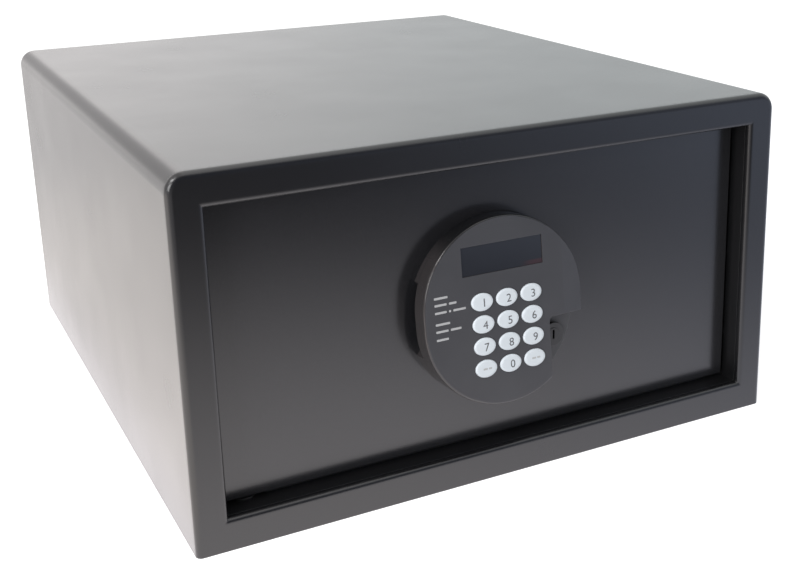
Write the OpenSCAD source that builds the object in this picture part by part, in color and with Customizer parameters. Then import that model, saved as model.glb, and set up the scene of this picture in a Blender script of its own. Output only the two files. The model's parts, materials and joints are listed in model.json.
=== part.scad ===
// Laptop-size electronic safe for a hotel room.
// Millimetres. X to the right, Y to the back, Z up; the origin is the centre of the underside.
// The door is shut and its bolts are drawn back, so that it can swing on the pins at its left edge.

/* [Body] */
// Width of the body
body_w = 420; // [400:5:520]
// Depth of the body, front frame included
body_d = 480; // [400:5:560]
// Height of the body
body_h = 232; // [226:1:300]
// Sheet thickness of the wrap over the top and sides
shell_t = 2; // [1.5:0.25:3]
// Outside radius of the two long top edges
corner_r = 12; // [6:1:18]
// Sheet thickness of the floor
base_t = 3; // [2:0.5:5]
// Sheet thickness of the back
back_t = 2; // [1.5:0.5:4]
// Thickness of the floor mat
mat_t = 3; // [2:0.5:5]
// Space between the mat and the walls
mat_margin = 4; // [2:1:12]

/* [Front frame] */
// Width of the rail at each side of the door
side_rail = 20.5; // [18:0.5:26]
// Height of the rail above the door
top_rail = 21.5; // [18:0.5:26]
// Height of the rail under the door
bottom_rail = 20.5; // [18:0.5:26]
// Depth of the front frame
frame_t = 5; // [4.75:0.25:7]
// Radius of the frame's outer front edge
frame_edge_r = 4; // [2:0.25:4.5]
// Radius of the edge round the opening
mouth_r = 3; // [1.5:0.25:4]
// Depth from the frame's face to the door's face
recess = 17; // [14:0.5:20]
// Sheet thickness of the jamb behind the frame
jamb_t = 2; // [1.5:0.25:3]
// How far the door stops reach into the opening
stop_h = 8; // [6:0.5:9]
// Thickness of the door stops
stop_t = 2; // [1.5:0.5:3]

/* [Door] */
// Thickness of the door plate
door_t = 3; // [3:0.5:5]
// Gap between the door and the jamb at the sides
side_gap = 2.5; // [2.25:0.25:3.5]
// Gap between the door and the jamb above and below
end_gap = 2.5; // [2:0.25:3.5]
// Distance from the pivot to the jamb beside it
pivot_in = 16; // [15.5:0.25:20]
// Diameter of the hinge pins
pin_d = 6; // [5:0.5:7]
// Depth of the box behind the door plate
pan_depth = 28; // [26:1:36]
// Distance from the door's top and bottom edges to that box
pan_inset = 12; // [10:1:16]
// Sheet thickness of that box
pan_t = 1.5; // [1:0.25:2]
// Sheet thickness of the rear cover
cover_t = 1.2; // [1:0.1:2]

/* [Bolts] */
// Diameter of the two lock bolts
bolt_d = 16; // [12:0.5:17]
// Height of the lower bolt above the bottom of the box behind the door
bolt_rise = 18.5; // [16:0.5:24]
// How far the bolts travel
bolt_throw = 14; // [10:0.5:15]
// How far the drawn-back bolts stand out of the door's edge
bolt_tip = 1.5; // [0.5:0.25:1.75]
// Thickness of the slide plate and of the keeper
bar_t = 3; // [2.5:0.25:4]

/* [Drive] */
// Module of the rack and pinion
gear_module = 1; // [0.9:0.05:1.1]
// Number of teeth on the pinion
pinion_teeth = 14; // [14:1:16]
// Diameter of the drive shaft
shaft_d = 4; // [3:0.5:5]

/* [Lock housing] */
// Width of the housing's face
lock_w = 113; // [112:0.5:120]
// Height of the housing's face
lock_h = 122; // [120:0.5:130]
// Place of the housing to the right of the body's middle
lock_x = -5; // [-12:1:8]
// Place of the housing above the door's middle
lock_rise = 1; // [-3:0.5:4]
// How far the middle of the face stands in front of the frame
lock_proud = 4; // [2:0.5:8]
// How far the face leans back
lock_lean = 6; // [3:0.5:7]
// Depth of the cap that carries the face
cap_depth = 13; // [12.5:0.5:14]
// Thickness of the cap's face
face_t = 2.5; // [2.2:0.1:3]
// Thickness of the cap's side wall and of the base's wall
cap_wall = 2.2; // [1.8:0.1:2.6]
// Rounding of the face's rim
rim_r = 1.5; // [0.75:0.25:2]
// How far the base behind the cap is set in
base_in = 0.3; // [0.2:0.1:0.8]
// Depth of the finger grip cut into the base's left side
grip_depth = 12; // [8:0.5:13]

/* [Keypad] */
// Width of a key
key_w = 15.2; // [14:0.1:15.6]
// Height of a key
key_h = 11.4; // [9.6:0.1:11.8]
// Distance between columns
key_pitch_u = 17.6; // [17.4:0.1:18]
// Distance between rows
key_pitch_v = 14.4; // [14.2:0.1:14.8]
// Place of the keypad to the right of the face's middle
pad_u = 1.2; // [0.5:0.1:2.5]
// Place of the keypad below the face's middle
pad_drop = 13.2; // [12.5:0.1:14]
// How far a key stands out of the face
key_rise = 1.2; // [0.8:0.1:1.6]
// How far a key travels
key_travel = 1.2; // [0.8:0.1:1.5]

/* [Display] */
// Width of the window
window_w = 57.5; // [54:0.5:60]
// Height of the window
window_h = 18.5; // [16.5:0.5:19]
// Height of the window's middle above the face's middle
window_v = 35.25; // [34:0.25:36.25]
// How far the window lies below the face
window_sink = 0.5; // [0.2:0.1:0.8]

/* [Override lock] */
// Diameter of the lock's barrel
barrel_d = 14; // [12:0.5:14.5]
// Diameter of the turning plug
plug_d = 9; // [8:0.25:10]
// Place of the notch's upright side, right of the face's middle
notch_u = 31.5; // [31.5:0.25:33]
// Place of the notch's upper side, below the face's middle
notch_drop = 10.5; // [10:0.5:14]

/* [Batteries] */
// Number of cells side by side
cells = 4; // [3:1:4]
// Diameter of a cell
cell_d = 14.5; // [14:0.1:14.5]
// Length of a cell with its cap
cell_l = 50.5; // [49:0.25:51]

/* [Anchor holes] */
// Diameter of the anchor holes
anchor_d = 11; // [8:0.5:14]
// Distance between the two holes in the floor
floor_anchor_pitch = 280; // [150:5:320]
// Distance between the two holes in the back
back_anchor_pitch = 280; // [150:5:320]
// Height of the back's holes
back_anchor_z = 130; // [60:5:170]

/* [Hidden] */
$fn = 48;
far = 400;
past = 1;
tiny = 0.02;
y_front = -body_d / 2;
y_back = body_d / 2;
y_door = y_front + recess;

// The opening in the front frame, and the door in it
mouth_x = body_w / 2 - side_rail;
mouth_z = [bottom_rail, body_h - top_rail];
door_x = mouth_x - side_gap;
door_z = [mouth_z[0] + end_gap, mouth_z[1] - end_gap];
door_mid = (mouth_z[0] + mouth_z[1]) / 2;
mat_hole_room = 3;

// Hinge: the pins stand behind the door plate
run_gap = 0.05;
lug_wall = 1.5;
lug_w = 15;
lug_h = 14;
lug_back = 2;
pin_short = 0.5;
pin_taper = 0.75;
pivot_x = -mouth_x + pivot_in;
pivot_y = door_t + lug_wall + pin_d / 2;
bush_wall = 2;
bush_flange_t = 1;
bush_flange = 2.5;
bush_play = 0.2;
hinge_plate_t = 4;
hinge_plate_w = 28;
hinge_plate_y = [-7, 16];

// Box behind the door plate
pan_side = 6;
pan_end = 14.5;
pan_x = [pivot_x + lug_w / 2 + pan_side, door_x - pan_end];
pan_z = [door_z[0] + pan_inset, door_z[1] - pan_inset];
pan_y = [door_t, door_t + pan_depth - cover_t];
cover_y = [pan_y[1], pan_y[1] + cover_t];
cover_r = 4;
pan_tab = 13;
pan_screw_in = 6.5;
cover_screw_d = 4;
cover_screw_l = 8;
cover_screw_head_t = 2;

// Bolts and the slide plate that carries them
seat_gap = 0.4;
bolt_y = door_t + seat_gap + bolt_d / 2;
bolt_z = [pan_z[0] + bolt_rise, door_mid];
bolt_end = door_x + bolt_tip;
bolt_hole_gap = 0.5;
bolt_hole_d = bolt_d + 2 * bolt_hole_gap;
bolt_tail_d = 8;
bolt_chamfer = 1.2;
guide_len = 12;
guide_h = 24;
guide_gap = 0.2;
guide_x = [pan_x[1] - pan_t - guide_len, pan_x[1] - pan_t];
throw_spare = 1.5;
flange_x = guide_x[0] - throw_spare - bolt_throw - bar_t;
bar_gap = 0.5;
bar_y = [bolt_y + bolt_d / 2 + bar_gap, bolt_y + bolt_d / 2 + bar_gap + bar_t];
bar_h = 16;
nut_t = 6;
nut_d = 13;
keeper_edge = 10;
keeper_side = 3;
jamb_spare = 4;
jamb_end = recess + bar_y[1] + jamb_spare;

// Face of the lock housing: u to the right, v up the face, w out of it
lock_z = door_mid + lock_rise;
lock_y = y_front - lock_proud;
half_v = (lock_h - lock_w) / 2;
pad_v = -pad_drop;
bevel_u = 43;
bevel_angle = 5;
bevel_reach = 40;
notch_v = -notch_drop;
notch_r = 3;
notch_wall = 1.2;
face_fit = 0.25;
top_plate_t = 2.5;
boss_wall = 2.5;
base_back = 3 * cap_depth;
grip_r = 40;
grip_u = -(lock_w / 2 - base_in - grip_depth + grip_r);
edge_step = 10;

// Keys: a crowned cap, a flange behind the face and a stem over the rubber sheet
flange_over_u = 0.5;
flange_over_v = 0.8;
key_flange_t = 0.8;
key_stem_d = 4;
key_stem = 1.5;
key_seat = 0.2;
key_crown = 0.6;
crown_in = [0.35, 1.3];
crown_drop = 0.25;
stem_gap = 0.2;
sheet_w = -(face_t + key_seat + key_flange_t + key_stem + key_travel + stem_gap);
sheet_t = 1;
board_t = 1.6;
board_w = [sheet_w - sheet_t - board_t, sheet_w - sheet_t];
board_u = [-33, 29];
board_edge = 1.4;
board_v = [pad_v - 1.5 * key_pitch_v - key_h / 2 - board_edge, window_v + window_h / 2 + board_edge];
post_d = 5;
stake_d = 2.4;
stake_head = 4;
stake_head_t = 0.8;
post_in = 4;
post_v = 19.5;
post_drop = 23;
BOARD_POSTS = [[board_u[0] + post_in, post_v], [board_u[1] - post_in, post_v],
    [board_u[0] + post_in, pad_v - post_drop]];
sheet_post_d = 2.5;
digits = 4;
digit_w = 8.8;
digit_h = 11.2;
digit_pitch = 11.5;
digit_sink = 0.3;
module_gap = 0.2;
ledge = 1.5;
lens_t = 1.6;
lens_fit = 0.1;
module_in = 2;
face_boss_d = 6.5;
face_boss_bore = 3;
face_screw_head = 5.5;
face_screw_head_t = 1.8;
face_screw_bite = 7;
FACE_BOSSES = [[-38, 24], [-38, -24], [38, 22]];
KEY_NAMES = ["1", "2", "3", "4", "5", "6", "7", "8", "9", "clear", "0", "enter"];

// Override lock, in the floor of the notch
lock_play = 0.05;
override_in = 8.5;
override_drop = 15.5;
override_u = notch_u + override_in;
override_v = notch_v - override_drop;
override_x = lock_x + override_u;
override_z = lock_z + override_v * cos(lock_lean) - cap_depth * sin(lock_lean);
floor_y = lock_y - y_door + override_v * sin(lock_lean) + cap_depth * cos(lock_lean);
barrel_flange = 1.5;
barrel_lip = 1;
barrel_proud = 2.5;
cam_gap = 1.5;
barrel_y = [floor_y - barrel_proud, bar_y[0] - cam_gap];
plug_proud = 0.2;
plug_hole_d = plug_d + 2 * lock_play;
plug_shoulder = 0.6;
keyway = [1.4, 6.4, 8];
cam_w = 6;
cam_spare = 0.8;
cam_reach = bolt_throw + plug_d / 2 + cam_spare;
cam_square = 5;
cam_screw_d = 8;
cam_screw_t = 2.2;
barrel_nut_t = 4;
barrel_nut_d = 20;

// Rack, pinion and gear motor
hub_gap = 2.5;
strip_z = [override_z + plug_d / 2 + hub_gap, override_z + plug_d / 2 + hub_gap + bar_h];
rack_addendum = 0.8 * gear_module;
rack_dedendum = 1.0 * gear_module;
backlash = 0.2;
pressure = 20;
pitch_r = gear_module * pinion_teeth / 2;
tooth_pitch = PI * gear_module;
pinion_in = 34;
pinion_x = flange_x - pinion_in;
pinion_z = strip_z[0] - rack_dedendum - pitch_r;
shaft_in = 6;
shaft_out = 1.5;
shaft_end_gap = 0.5;
gearbox_left = 17;
gearbox_right = 23;
gearbox_down = 16;
gearbox_bar_gap = 1.4;
gearbox_strip_gap = 0.6;
gearbox_x = [pinion_x - gearbox_left, pinion_x + gearbox_right];
gearbox_y = [door_t + pan_t, bar_y[0] - gearbox_bar_gap];
gearbox_z = [pinion_z - gearbox_down, strip_z[0] - gearbox_strip_gap];
gearbox_r = 3;
motor_len = 22;
motor_end = 2;
motor_end_d = 5;
motor_slack = 0.3;
motor_drop = 1;
ear = 8;
ear_in = 3;
ear_t = 3;
ear_screw_d = 3;
ear_screw_head = 5.5;
ear_screw_head_t = 1.8;
screw_tip_gap = 0.2;
bracket_lip = 2;
ear_x = [gearbox_x[0] + ear_in + ear / 2, gearbox_x[1] - ear_in - ear / 2];
ear_z = gearbox_z[0] - ear / 2;
hook_gap = 0.3;
hook_w = 8;
hook_x = [override_x - cam_reach - hook_gap - hook_w, override_x - cam_reach - hook_gap];
slot_play = 0.1;
stud_d = 6;
stud_head = 10;
stud_head_t = 2;
stud_right = 27;
stud_in = 11;
stud_x = [override_x + stud_right, flange_x - stud_in];
stud_z = (strip_z[0] + strip_z[1]) / 2;

// Housing screws, from behind the door plate
screw_d = 4;
screw_head = 7.5;
screw_head_t = 2.6;
base_screw_in = 5.5;
screw_spare = 0.5;
screw_room = 0.4;
BASE_SCREWS = [[-34, 8], [34, 8], [-30, -34], [6, -40]];
wire_hole_d = 16;
wire_hole_v = 4;

// Batteries in their tray, and the cover that slides over them
cell_room = 0.3;
cell_wall = 0.8;
cell_pitch = cell_d + cell_wall;
cell_cap = 1.3;
cell_cap_d = 5.3;
cell_sink = 1;
tray_wall = 1.5;
contact_room = 3;
contact_w = 10;
contact_z = [0.05, 0.55];
contact_gap = 0.3;
contact_d = [7, 3.4];
tray_in = 68;
tray_x = [pan_x[0] + tray_in, pan_x[0] + tray_in + cells * cell_pitch + 2 * tray_wall];
tray_half = cell_l / 2 + contact_room + tray_wall;
tray_z = [door_mid - tray_half, door_mid + tray_half];
cell_y = cover_y[1] - cell_sink - cell_d / 2;
tray_y = [cell_y - cell_d / 2 - tray_wall - cell_room, cover_y[1]];
tray_flange = 3;
lid_t = 1.8;
lid_over = 3;
lid_end = 2;
lid_lift = 0.2;
ridges = 5;
ridge_pitch = 3;
ridge_w = 1.4;
ridge_h = 0.9;
ridge_len = 22;
ridge_in = 6.6;
pull = [12, 0.5, 8];
slide_gap = 0.3;
rail_lip = 2;
rail_t = 1.2;

// Control board and its reset button
board_in = 8;
board_wide = 48;
board_tall = 104;
board_lift = 6;
board_x = [pan_x[0] + board_in, pan_x[0] + board_in + board_wide];
control_z = [door_mid - board_tall / 2, door_mid + board_tall / 2];
control_y = [door_t + board_lift, door_t + board_lift + board_t];
board_hole_in = 4;
board_hole_d = 3;
board_stud_d = 6;
board_stud_tip = 2.5;
chip = [14, 44, 14, 2];
socket = [32, 14, 12, 22, 7];
capacitor = [35, 76, 12, 8];
switch_w = 6;
button_d = 4.8;
button_in = 14;
button_drop = 16;
button_x = board_x[0] + button_in;
button_z = control_z[1] - button_drop;
button_rise = 1.5;
button_travel = 1.5;
button_flange_t = 1.2;
button_flange = 1.25;
switch_h = 5;

// A box given by its low and high values along each axis
module block(x, y, z) {
    translate([x[0], y[0], z[0]]) cube([x[1] - x[0], y[1] - y[0], z[1] - z[0]]);
}

// Round bars along the three axes
module bar_along_x(x, y, z, d) {
    translate([x[0], y, z]) rotate([0, 90, 0]) cylinder(d = d, h = x[1] - x[0]);
}

module bar_along_y(x, y, z, d) {
    translate([x, y[0], z]) rotate([-90, 0, 0]) cylinder(d = d, h = y[1] - y[0]);
}

module bar_along_z(x, y, z, d) {
    translate([x, y, z[0]]) cylinder(d = d, h = z[1] - z[0]);
}

// A plate across Y with rounded corners
module round_plate(x, y, z, r) {
    block([x[0] + r, x[1] - r], y, z);
    block(x, y, [z[0] + r, z[1] - r]);
    for (cx = [x[0] + r, x[1] - r], cz = [z[0] + r, z[1] - r]) bar_along_y(cx, y, cz, 2 * r);
}

// The body's outline, with round upper corners, run along Y
module tunnel(inset, y) {
    x = body_w / 2 - inset;
    z = body_h - inset;
    r = max(corner_r - inset, 1);
    block([-x, x], y, [0, z - r]);
    block([-x + r, x - r], y, [0, z]);
    for (s = [-1, 1]) bar_along_y(s * (x - r), y, z - r, 2 * r);
}

// Places measured back from the door's front face
module behind_door() {
    translate([0, y_door, 0]) children();
}

// Places on the lock housing's face
module on_face() {
    translate([lock_x, lock_y, lock_z]) rotate([90 - lock_lean, 0, 0]) children();
}

// The housing's oval outline, set in, between two depths
module oval(inset, w) {
    r = lock_w / 2 - inset;
    for (s = [-1, 1]) translate([0, s * half_v, w[0]]) cylinder(r = r, h = w[1] - w[0], $fn = 96);
    block([-r, r], [-half_v, half_v], w);
}

// A screw along Y: its shank lies between y[0] and y[1], and the head's underside is at y[1]
module screw(x, y, z, d, head, head_t) {
    bar_along_y(x, [y[0], y[1] + tiny], z, d);
    bar_along_y(x, [y[1], y[1] + head_t], z, head);
}

// Body

module outer_shell() {
    y = [y_front + frame_t, y_back];
    color("dimgray") difference() {
        tunnel(0, y);
        tunnel(shell_t, [y[0] - past, y[1] + past]);
        block([shell_t - body_w / 2, body_w / 2 - shell_t], [y[0] - past, y[1] + past], [-past, past]);
    }
}

module base_plate() {
    x = body_w / 2 - shell_t;
    color("dimgray") difference() {
        block([-x, x], [y_front + frame_t, y_back - back_t], [0, base_t]);
        for (s = [-1, 1]) bar_along_z(s * floor_anchor_pitch / 2, 0, [-past, base_t + past], anchor_d);
    }
}

module back_panel() {
    y = [y_back - back_t, y_back];
    color("dimgray") difference() {
        tunnel(shell_t, y);
        for (s = [-1, 1]) {
            bar_along_y(s * back_anchor_pitch / 2, [y[0] - past, y[1] + past], back_anchor_z, anchor_d);
        }
    }
}

// The face round the door: its outer front edge is rounded in steps, and the opening's edge by round bars
module front_frame() {
    color("dimgray") difference() {
        hull() {
            tunnel(0, [y_front + frame_edge_r, y_front + frame_t], $fn = 48);
            for (a = [0:edge_step:90 - edge_step]) {
                y = [y_front + frame_edge_r * (1 - cos(a)), y_front + frame_edge_r];
                tunnel(frame_edge_r * (1 - sin(a)), y, $fn = 48);
            }
        }
        difference() {
            block([-mouth_x - mouth_r, mouth_x + mouth_r], [y_front - past, y_front + frame_t + past],
                [mouth_z[0] - mouth_r, mouth_z[1] + mouth_r]);
            mouth_lip();
        }
    }
}

// The rounded lip that stays on the four sides of the opening
module mouth_lip() {
    x = mouth_x + mouth_r;
    z = [mouth_z[0] - mouth_r, mouth_z[1] + mouth_r];
    round_y = y_front + mouth_r;
    flat_y = [round_y, y_front + frame_t + 2 * past];
    for (s = [-1, 1]) {
        bar_along_z(s * x, round_y, [z[0] - past, z[1] + past], 2 * mouth_r);
        block(s < 0 ? [-x - past, -mouth_x] : [mouth_x, x + past], flat_y, [z[0] - past, z[1] + past]);
    }
    for (i = [0, 1]) {
        bar_along_x([-x - past, x + past], round_y, z[i], 2 * mouth_r);
        block([-x - past, x + past], flat_y, i == 0 ? [z[0] - past, mouth_z[0]] : [mouth_z[1], z[1] + past]);
    }
}

// Four returns behind the frame, the door stops, and holes for bolts and bushes
module door_jamb() {
    y = [y_front + frame_t, y_front + jamb_end];
    stop_y = [door_t + slide_gap, door_t + slide_gap + stop_t];
    stop_z = [[mouth_z[0] - past, mouth_z[0] + stop_h], [mouth_z[1] - stop_h, mouth_z[1] + past]];
    bush_d = pin_d + 2 * bush_wall + 2 * tiny;
    color("dimgray") difference() {
        union() {
            difference() {
                block([-mouth_x - jamb_t, mouth_x + jamb_t], y, [mouth_z[0] - jamb_t, mouth_z[1] + jamb_t]);
                block([-mouth_x, mouth_x], [y[0] - past, y[1] + past], mouth_z);
            }
            behind_door() for (z = stop_z) {
                block([pan_x[0], mouth_x + past], stop_y, z);
            }
        }
        behind_door() {
            for (z = bolt_z) {
                bar_along_x([mouth_x - past, mouth_x + jamb_t + past], bolt_y, z, bolt_hole_d);
            }
            bar_along_z(pivot_x, pivot_y, [mouth_z[0] - jamb_t - past, mouth_z[0] + past], bush_d);
            bar_along_z(pivot_x, pivot_y, [mouth_z[1] - past, mouth_z[1] + jamb_t + past], bush_d);
        }
    }
}

// Lower and upper hinge parts: s is -1 below the door and 1 above it
module at_hinge(s) {
    z = s < 0 ? mouth_z[0] : mouth_z[1];
    translate([pivot_x, y_door + pivot_y, z]) mirror([0, 0, s < 0 ? 1 : 0]) children();
}

module hinge_plates() {
    hole = pin_d + 2 * bush_wall + 2 * tiny;
    x = [-pivot_in - jamb_t, hinge_plate_w - pivot_in];
    z = [jamb_t, jamb_t + hinge_plate_t];
    color("dimgray") for (s = [-1, 1]) at_hinge(s) difference() {
        block(x, hinge_plate_y, z);
        bar_along_z(0, 0, [z[0] - past, z[1] + past], hole);
    }
}

module hinge_bushes() {
    d = pin_d + 2 * bush_wall;
    z = [-bush_flange_t, jamb_t + hinge_plate_t];
    color("goldenrod") for (s = [-1, 1]) at_hinge(s) difference() {
        union() {
            bar_along_z(0, 0, z, d);
            bar_along_z(0, 0, [z[0], 0], d + 2 * bush_flange);
        }
        bar_along_z(0, 0, [z[0] - past, z[1] + past], pin_d + 2 * run_gap);
    }
}

module keeper_plate() {
    x = [mouth_x + jamb_t, mouth_x + jamb_t + bar_t];
    half_w = bolt_d / 2 + keeper_side;
    end = bolt_d / 2 + keeper_edge;
    color("silver") behind_door() difference() {
        block(x, [bolt_y - half_w, bolt_y + half_w], [bolt_z[0] - end, bolt_z[1] + end]);
        for (z = bolt_z) bar_along_x([x[0] - past, x[1] + past], bolt_y, z, bolt_hole_d);
    }
}

module floor_mat() {
    x = body_w / 2 - shell_t - mat_margin;
    y = [y_front + jamb_end + mat_margin, y_back - back_t - mat_margin];
    z = [base_t, base_t + mat_t];
    hole = anchor_d + 2 * mat_hole_room;
    color("slategray") difference() {
        block([-x, x], y, z);
        for (s = [-1, 1]) bar_along_z(s * floor_anchor_pitch / 2, 0, [z[0] - past, z[1] + past], hole);
    }
}

// Door

module door_plate() {
    cut = [-past, door_t + past];
    color("dimgray") behind_door() difference() {
        block([-door_x, door_x], [0, door_t], door_z);
        bar_along_y(override_x, cut, override_z, barrel_d + 2 * lock_play);
        bar_along_y(lock_x, cut, lock_z + wire_hole_v, wire_hole_d);
        for (p = BASE_SCREWS) bar_along_y(lock_x + p[0], cut, lock_z + p[1], screw_d + 2 * face_fit);
    }
}

module hinge_lugs() {
    z = [-bush_flange_t - bush_play - lug_h, -bush_flange_t - bush_play];
    color("dimgray") for (s = [-1, 1]) at_hinge(s) difference() {
        block([-lug_w / 2, lug_w / 2], [door_t - pivot_y, pin_d / 2 + lug_back], z);
        bar_along_z(0, 0, [z[0] - past, z[1] + past], pin_d + 2 * tiny);
    }
}

module hinge_pins() {
    z = [-bush_flange_t - bush_play - lug_h, jamb_t + hinge_plate_t - pin_short];
    color("silver") for (s = [-1, 1]) at_hinge(s) {
        bar_along_z(0, 0, [z[0], z[1] - pin_taper], pin_d);
        translate([0, 0, z[1] - pin_taper]) cylinder(d1 = pin_d, d2 = pin_d - 2 * pin_taper, h = pin_taper);
    }
}

// Corners of the box behind the door, where its cover is screwed on
module at_pan_corners() {
    for (x = [pan_x[0] + pan_screw_in, pan_x[1] - pan_screw_in]) {
        for (z = [pan_z[0] + pan_screw_in, pan_z[1] - pan_screw_in]) translate([x, 0, z]) children();
    }
}

module door_pan() {
    tab = [-pan_tab / 2, pan_tab / 2];
    tab_y = [pan_y[1] - pan_t, pan_y[1]];
    inside_x = [pan_x[0] + pan_t, pan_x[1] - pan_t];
    color("dimgray") behind_door() difference() {
        union() {
            difference() {
                block(pan_x, pan_y, pan_z);
                block(inside_x, [pan_y[0] - past, pan_y[1] + past], [pan_z[0] + pan_t, pan_z[1] - pan_t]);
            }
            intersection() {
                block(pan_x, tab_y, pan_z);
                at_pan_corners() block(tab, tab_y, tab);
            }
        }
        at_pan_corners() bar_along_y(0, [tab_y[0] - past, tab_y[1] + past], 0, cover_screw_d + 2 * tiny);
        for (z = bolt_z) bar_along_x([inside_x[1] - past, pan_x[1] + past], bolt_y, z, bolt_hole_d);
    }
}

// Rails that hold the battery cover's upper and lower edges, and its end stop
module lid_rails() {
    x = [tray_x[0] - lid_end, tray_x[1] + lid_end];
    edge = lid_over + slide_gap;
    top = cover_y[1] + lid_lift + lid_t + slide_gap;
    for (s = [-1, 1]) {
        z = s < 0 ? tray_z[0] - edge : tray_z[1] + edge;
        block(x, [cover_y[1] - tiny, top + rail_t], s < 0 ? [z - rail_t, z] : [z, z + rail_t]);
        block(x, [top, top + rail_t], s < 0 ? [z - rail_t, z + rail_lip] : [z - rail_lip, z + rail_t]);
    }
    block([x[0] - slide_gap - rail_t, x[0] - slide_gap], [cover_y[1] - tiny, top],
        [tray_z[0] - edge - rail_t, tray_z[1] + edge + rail_t]);
}

module rear_cover() {
    color("darkslategray") behind_door() difference() {
        union() {
            round_plate(pan_x, cover_y, pan_z, cover_r);
            lid_rails();
        }
        block([tray_x[0] - slide_gap, tray_x[1] + slide_gap], [cover_y[0] - past, cover_y[1] + past],
            [tray_z[0] - slide_gap, tray_z[1] + slide_gap]);
        at_pan_corners() bar_along_y(0, [cover_y[0] - past, cover_y[1] + past], 0, cover_screw_d + screw_room);
        bar_along_y(button_x, [cover_y[0] - past, cover_y[1] + past], button_z, button_d + 2 * slide_gap);
    }
}

module cover_screws() {
    y = [cover_y[1] - cover_screw_l, cover_y[1]];
    color("silver") behind_door() at_pan_corners() {
        screw(0, y, 0, cover_screw_d, 2 * cover_screw_d, cover_screw_head_t);
    }
}

// Lock housing

// The region cut out of the housing's lower right; grow widens it
module notch(grow, w) {
    u = notch_u - grow;
    v = notch_v + grow;
    block([u, far], [-far, v - notch_r], w);
    block([u + notch_r, far], [-far, v], w);
    translate([u + notch_r, v - notch_r, w[0]]) cylinder(r = notch_r, h = w[1] - w[0]);
}

// Half of the cap's section: the face at the top, the rim rounded
module cap_section() {
    r = lock_w / 2;
    translate([0, -cap_depth]) square([r - rim_r, cap_depth]);
    translate([0, -cap_depth]) square([r, cap_depth - rim_r]);
    translate([r - rim_r, -rim_r]) circle(r = rim_r);
}

module cap_solid() {
    for (s = [-1, 1]) translate([0, s * half_v, 0]) rotate_extrude($fn = 96) cap_section();
    for (s = [0, 1]) mirror([s, 0, 0]) {
        translate([0, half_v, 0]) rotate([90, 0, 0]) linear_extrude(height = 2 * half_v) cap_section();
    }
}

// An oval key outline, points worked out along an ellipse
module key_outline(half_u, half_h, w) {
    steps = 32;
    points = [for (i = [0:steps - 1]) [half_u * cos(360 * i / steps), half_h * sin(360 * i / steps)]];
    translate([0, 0, w[0]]) linear_extrude(height = w[1] - w[0]) polygon(points);
}

module at_key(column, row) {
    translate([pad_u + (column - 1) * key_pitch_u, pad_v + (1.5 - row) * key_pitch_v, 0]) children();
}

// Posts that carry the keypad board: each passes through it and is headed over behind it
module board_posts() {
    for (p = BOARD_POSTS) translate([p[0], p[1], 0]) {
        translate([0, 0, board_w[1]]) cylinder(d = post_d, h = -board_w[1] - face_t + tiny);
        translate([0, 0, board_w[0] - tiny]) cylinder(d = stake_d, h = board_t + 2 * tiny);
        translate([0, 0, board_w[0] - stake_head_t]) cylinder(d = stake_head, h = stake_head_t);
    }
}

module lock_face() {
    w_back = -cap_depth;
    color("dimgray") on_face() difference() {
        union() {
            difference() {
                cap_solid();
                notch(0, [w_back - past, past]);
                translate([bevel_u, 0, 0]) rotate([0, bevel_angle, 0]) {
                    block([0, bevel_reach], [-far, far], [0, far]);
                }
                difference() {
                    oval(cap_wall, [w_back - past, -face_t]);
                    notch(notch_wall, [w_back - 2 * past, 0]);
                }
            }
            for (p = FACE_BOSSES) {
                translate([p[0], p[1], w_back]) cylinder(d = face_boss_d, h = cap_depth - face_t + tiny);
            }
            board_posts();
        }
        for (p = FACE_BOSSES) {
            translate([p[0], p[1], w_back - past]) cylinder(d = face_boss_bore, h = face_screw_bite + 2 * past);
        }
        for (c = [0:2], r = [0:3]) at_key(c, r) {
            key_outline(key_w / 2 + face_fit, key_h / 2 + face_fit, [-face_t - past, past]);
        }
        translate([0, window_v, 0]) {
            block([-window_w / 2, window_w / 2], [-window_h / 2, window_h / 2], [-window_sink - lens_t, past]);
            block([ledge - window_w / 2, window_w / 2 - ledge], [ledge - window_h / 2, window_h / 2 - ledge],
                [-face_t - past, past]);
        }
    }
}

// The finger grip's outline, grown
module grip(grow, w) {
    translate([grip_u, 0, w[0]]) cylinder(r = grip_r + grow, h = w[1] - w[0], $fn = 96);
}

// The base's outline, set in, with the finger grip taken out of its left side
module base_outline(inset, w) {
    difference() {
        oval(base_in + inset, w);
        grip(inset, [w[0] - past, w[1] + past]);
    }
}

// The base carries the cap; over the finger grip its plate rises into the cap and closes it
module lock_base() {
    top = -cap_depth;
    color("dimgray") difference() {
        on_face() {
            base_outline(0, [-base_back, top]);
            intersection() {
                oval(cap_wall + face_fit, [top - tiny, top + top_plate_t]);
                grip(cap_wall, [top - past, top + top_plate_t + past]);
            }
        }
        difference() {
            on_face() base_outline(cap_wall, [-base_back - past, top - top_plate_t]);
            behind_door() for (p = BASE_SCREWS) {
                bar_along_y(lock_x + p[0], [-far, past], lock_z + p[1], screw_d + 2 * boss_wall);
            }
            behind_door() bar_along_y(override_x, [-far, past], override_z, barrel_d + 2 * boss_wall);
        }
        behind_door() {
            block([-far, far], [0, far], [-far, far]);
            for (p = BASE_SCREWS) {
                bar_along_y(lock_x + p[0], [-base_screw_in, past], lock_z + p[1], screw_d + 2 * tiny);
            }
            bar_along_y(override_x, [-far, past], override_z, barrel_d + 2 * lock_play);
        }
        on_face() translate([0, 0, top - top_plate_t - past]) {
            translate([0, wire_hole_v, 0]) cylinder(d = wire_hole_d, h = top_plate_t + 2 * past);
            for (p = FACE_BOSSES) {
                translate([p[0], p[1], 0]) cylinder(d = face_boss_bore + screw_room, h = top_plate_t + 2 * past);
            }
        }
    }
}

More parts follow.
